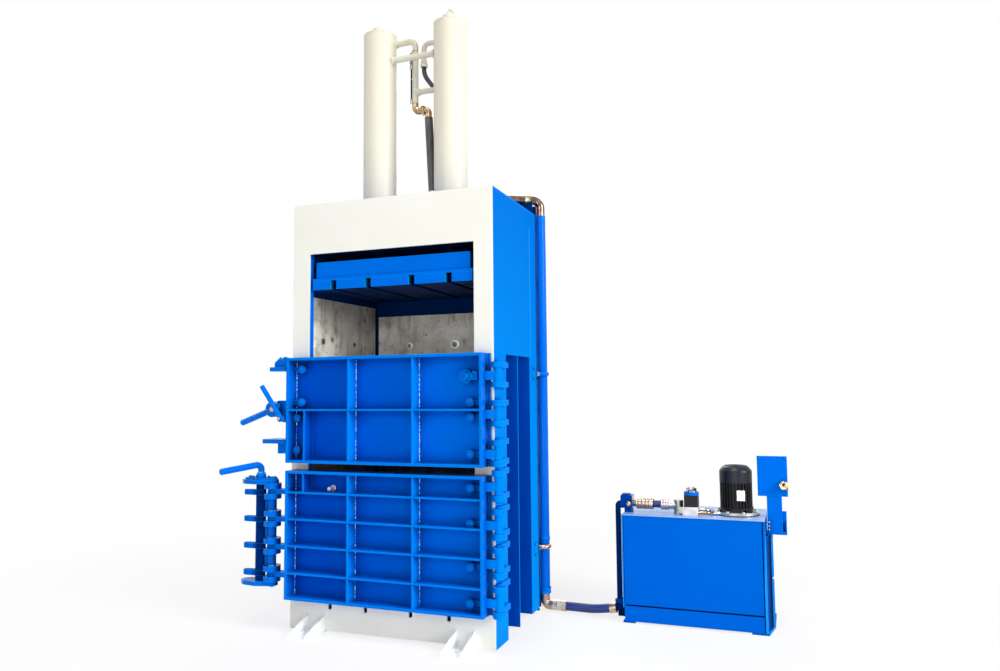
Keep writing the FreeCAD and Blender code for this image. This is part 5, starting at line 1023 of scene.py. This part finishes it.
def gland_nut():
    x, z = GLAND
    gland = bmesh.new()
    turned(gland, [(0, 22), (3, 24), (9, 24), (11, 19), (28, 19), (31, 17), (38, 17), (39, 14)], (x, 511, z),
           AHEAD, 6)
    turned(gland, [(0, 17), (3, 20.5), (8, 20.5), (11, 17)], (x, 488, z), AHEAD, 28)
    settle("gland_nut", gland, "brass", "frame")


def riser_shoe():
    """Upright plate at the foot of the tank's left end, dark with painted shade."""
    shoe = bmesh.new()
    block(shoe, (1306, 503, 1), (1371, 509, 128))
    settle("riser_shoe", shoe, "painted_shade_navy", "frame")


def gland_lead():
    """The dark mouth of the gland and the wire that bends back from it."""
    x, z = GLAND
    turned_piece("gland_bore", [(0, 12), (1.6, 12), (1.7, 0)], (x, 472.4, z), AHEAD, 24, "black_plastic",
                 "frame")
    tube_piece("gland_lead",
               [(x, 474, z), (2448, 462, 950), (2460, 466, 936), (2464, 486, 926), (2462, 506, 922)],
               5.5, "brass", "frame")


def on_motor(radius, angle, z):
    """A point round the motor's axis."""
    x, y = MOTOR
    return x + radius * math.cos(angle), y + radius * math.sin(angle), z


def cowl_grille():
    """Wire rings on six wire spokes."""
    x, y = MOTOR
    bm = bmesh.new()
    steps = 56
    for radius in range(22, 82, 10):
        rings = []
        for i in range(steps):
            point = Vector(on_motor(radius, math.tau * i / steps, 1066.4))
            rings.append(ring_points(point / 1000, (y - point.y, point.x - x, 0), 0.0021, 6))
        stitch(bm, rings, closed=True)
    for i in range(6):
        angle = math.tau * i / 6 + 0.2
        start, end = (mm(*on_motor(radius, angle, 1066.2)) for radius in (20, 78))
        stitch(bm, [ring_points(point, end - start, 0.0022, 6) for point in (start, end)])
    settle("cowl_grille", bm, "black_paint", "frame")


def motor_fittings():
    cowl_grille()
    bolts = bmesh.new()
    for i in range(8):
        hexagonal(bolts, on_motor(134, math.tau * (i + 0.5) / 8, 759), UP, 17, 8)
    settle("motor_bolts", bolts, "plated_steel", "frame")
    # A black ring under the flange: painted shadow beneath it.
    turned_piece("motor_flange_shade_ring", [(0, 40), (0, 150), (1, 153), (5, 153), (6, 150), (6, 40)], (*MOTOR, 735),
                 UP, 72, "black_plastic", "frame", closed=True)


# ------------------------------------------------------------------ wear plates
REAR_BOLTS = ((99, 31), (-291, 22))               # x and radius of the rim
REAR_BOLT_Z = 1960
LINER_PLUGS = ((-318, 1963, 17), (81, 1959, 13))  # y, z and radius
LINER_SLOPE = 0.0393                              # the chamber gets wider towards the doors


def liner_details():
    """Rims round the rear liner's bolts and the worn plugs of the left liner."""
    rims = bmesh.new()
    heads = bmesh.new()
    for x, radius in REAR_BOLTS:
        turned(rims, [(0, radius), (0.8, radius + 5), (3.6, radius + 5), (4.4, radius + 1), (4.5, 0)],
               (x, 398, REAR_BOLT_Z), AHEAD)
        hexagonal(heads, (x, 393.4, REAR_BOLT_Z), AHEAD, radius * 1.15, 7)
    settle("liner_bolt_rims", rims, "worn_rim", "frame")
    settle("liner_bolt_heads", heads, "dark_steel", "frame")
    plugs = bmesh.new()
    for y, z, radius in LINER_PLUGS:
        x = -613 + (y + 318) * LINER_SLOPE
        profile = [(-1, radius), (2, radius), (3.4, radius - 3), (3.5, radius - 8), (1.8, radius - 8.5),
                   (1.7, 0)]
        turned(plugs, profile, (x, y, z), (1, 0.039, 0), 28)
    settle("liner_plugs", plugs, "dark_steel", "frame")


make_camera()
make_pack_hose()
make_light()
make_floor()
finish_nodes()
dress_oil_lines()
dress_chamber()
dress_doors()
dress_tank()
door_welds()
boss_heads()
strap_hook_fittings()
catch_bolt()
hinge_heads()
lock_fittings()
latch_fittings()
cylinder_fittings()
hose_fittings()
side_pipe_details()
tank_fittings()
gland_nut()
riser_shoe()
gland_lead()
motor_fittings()
liner_details()
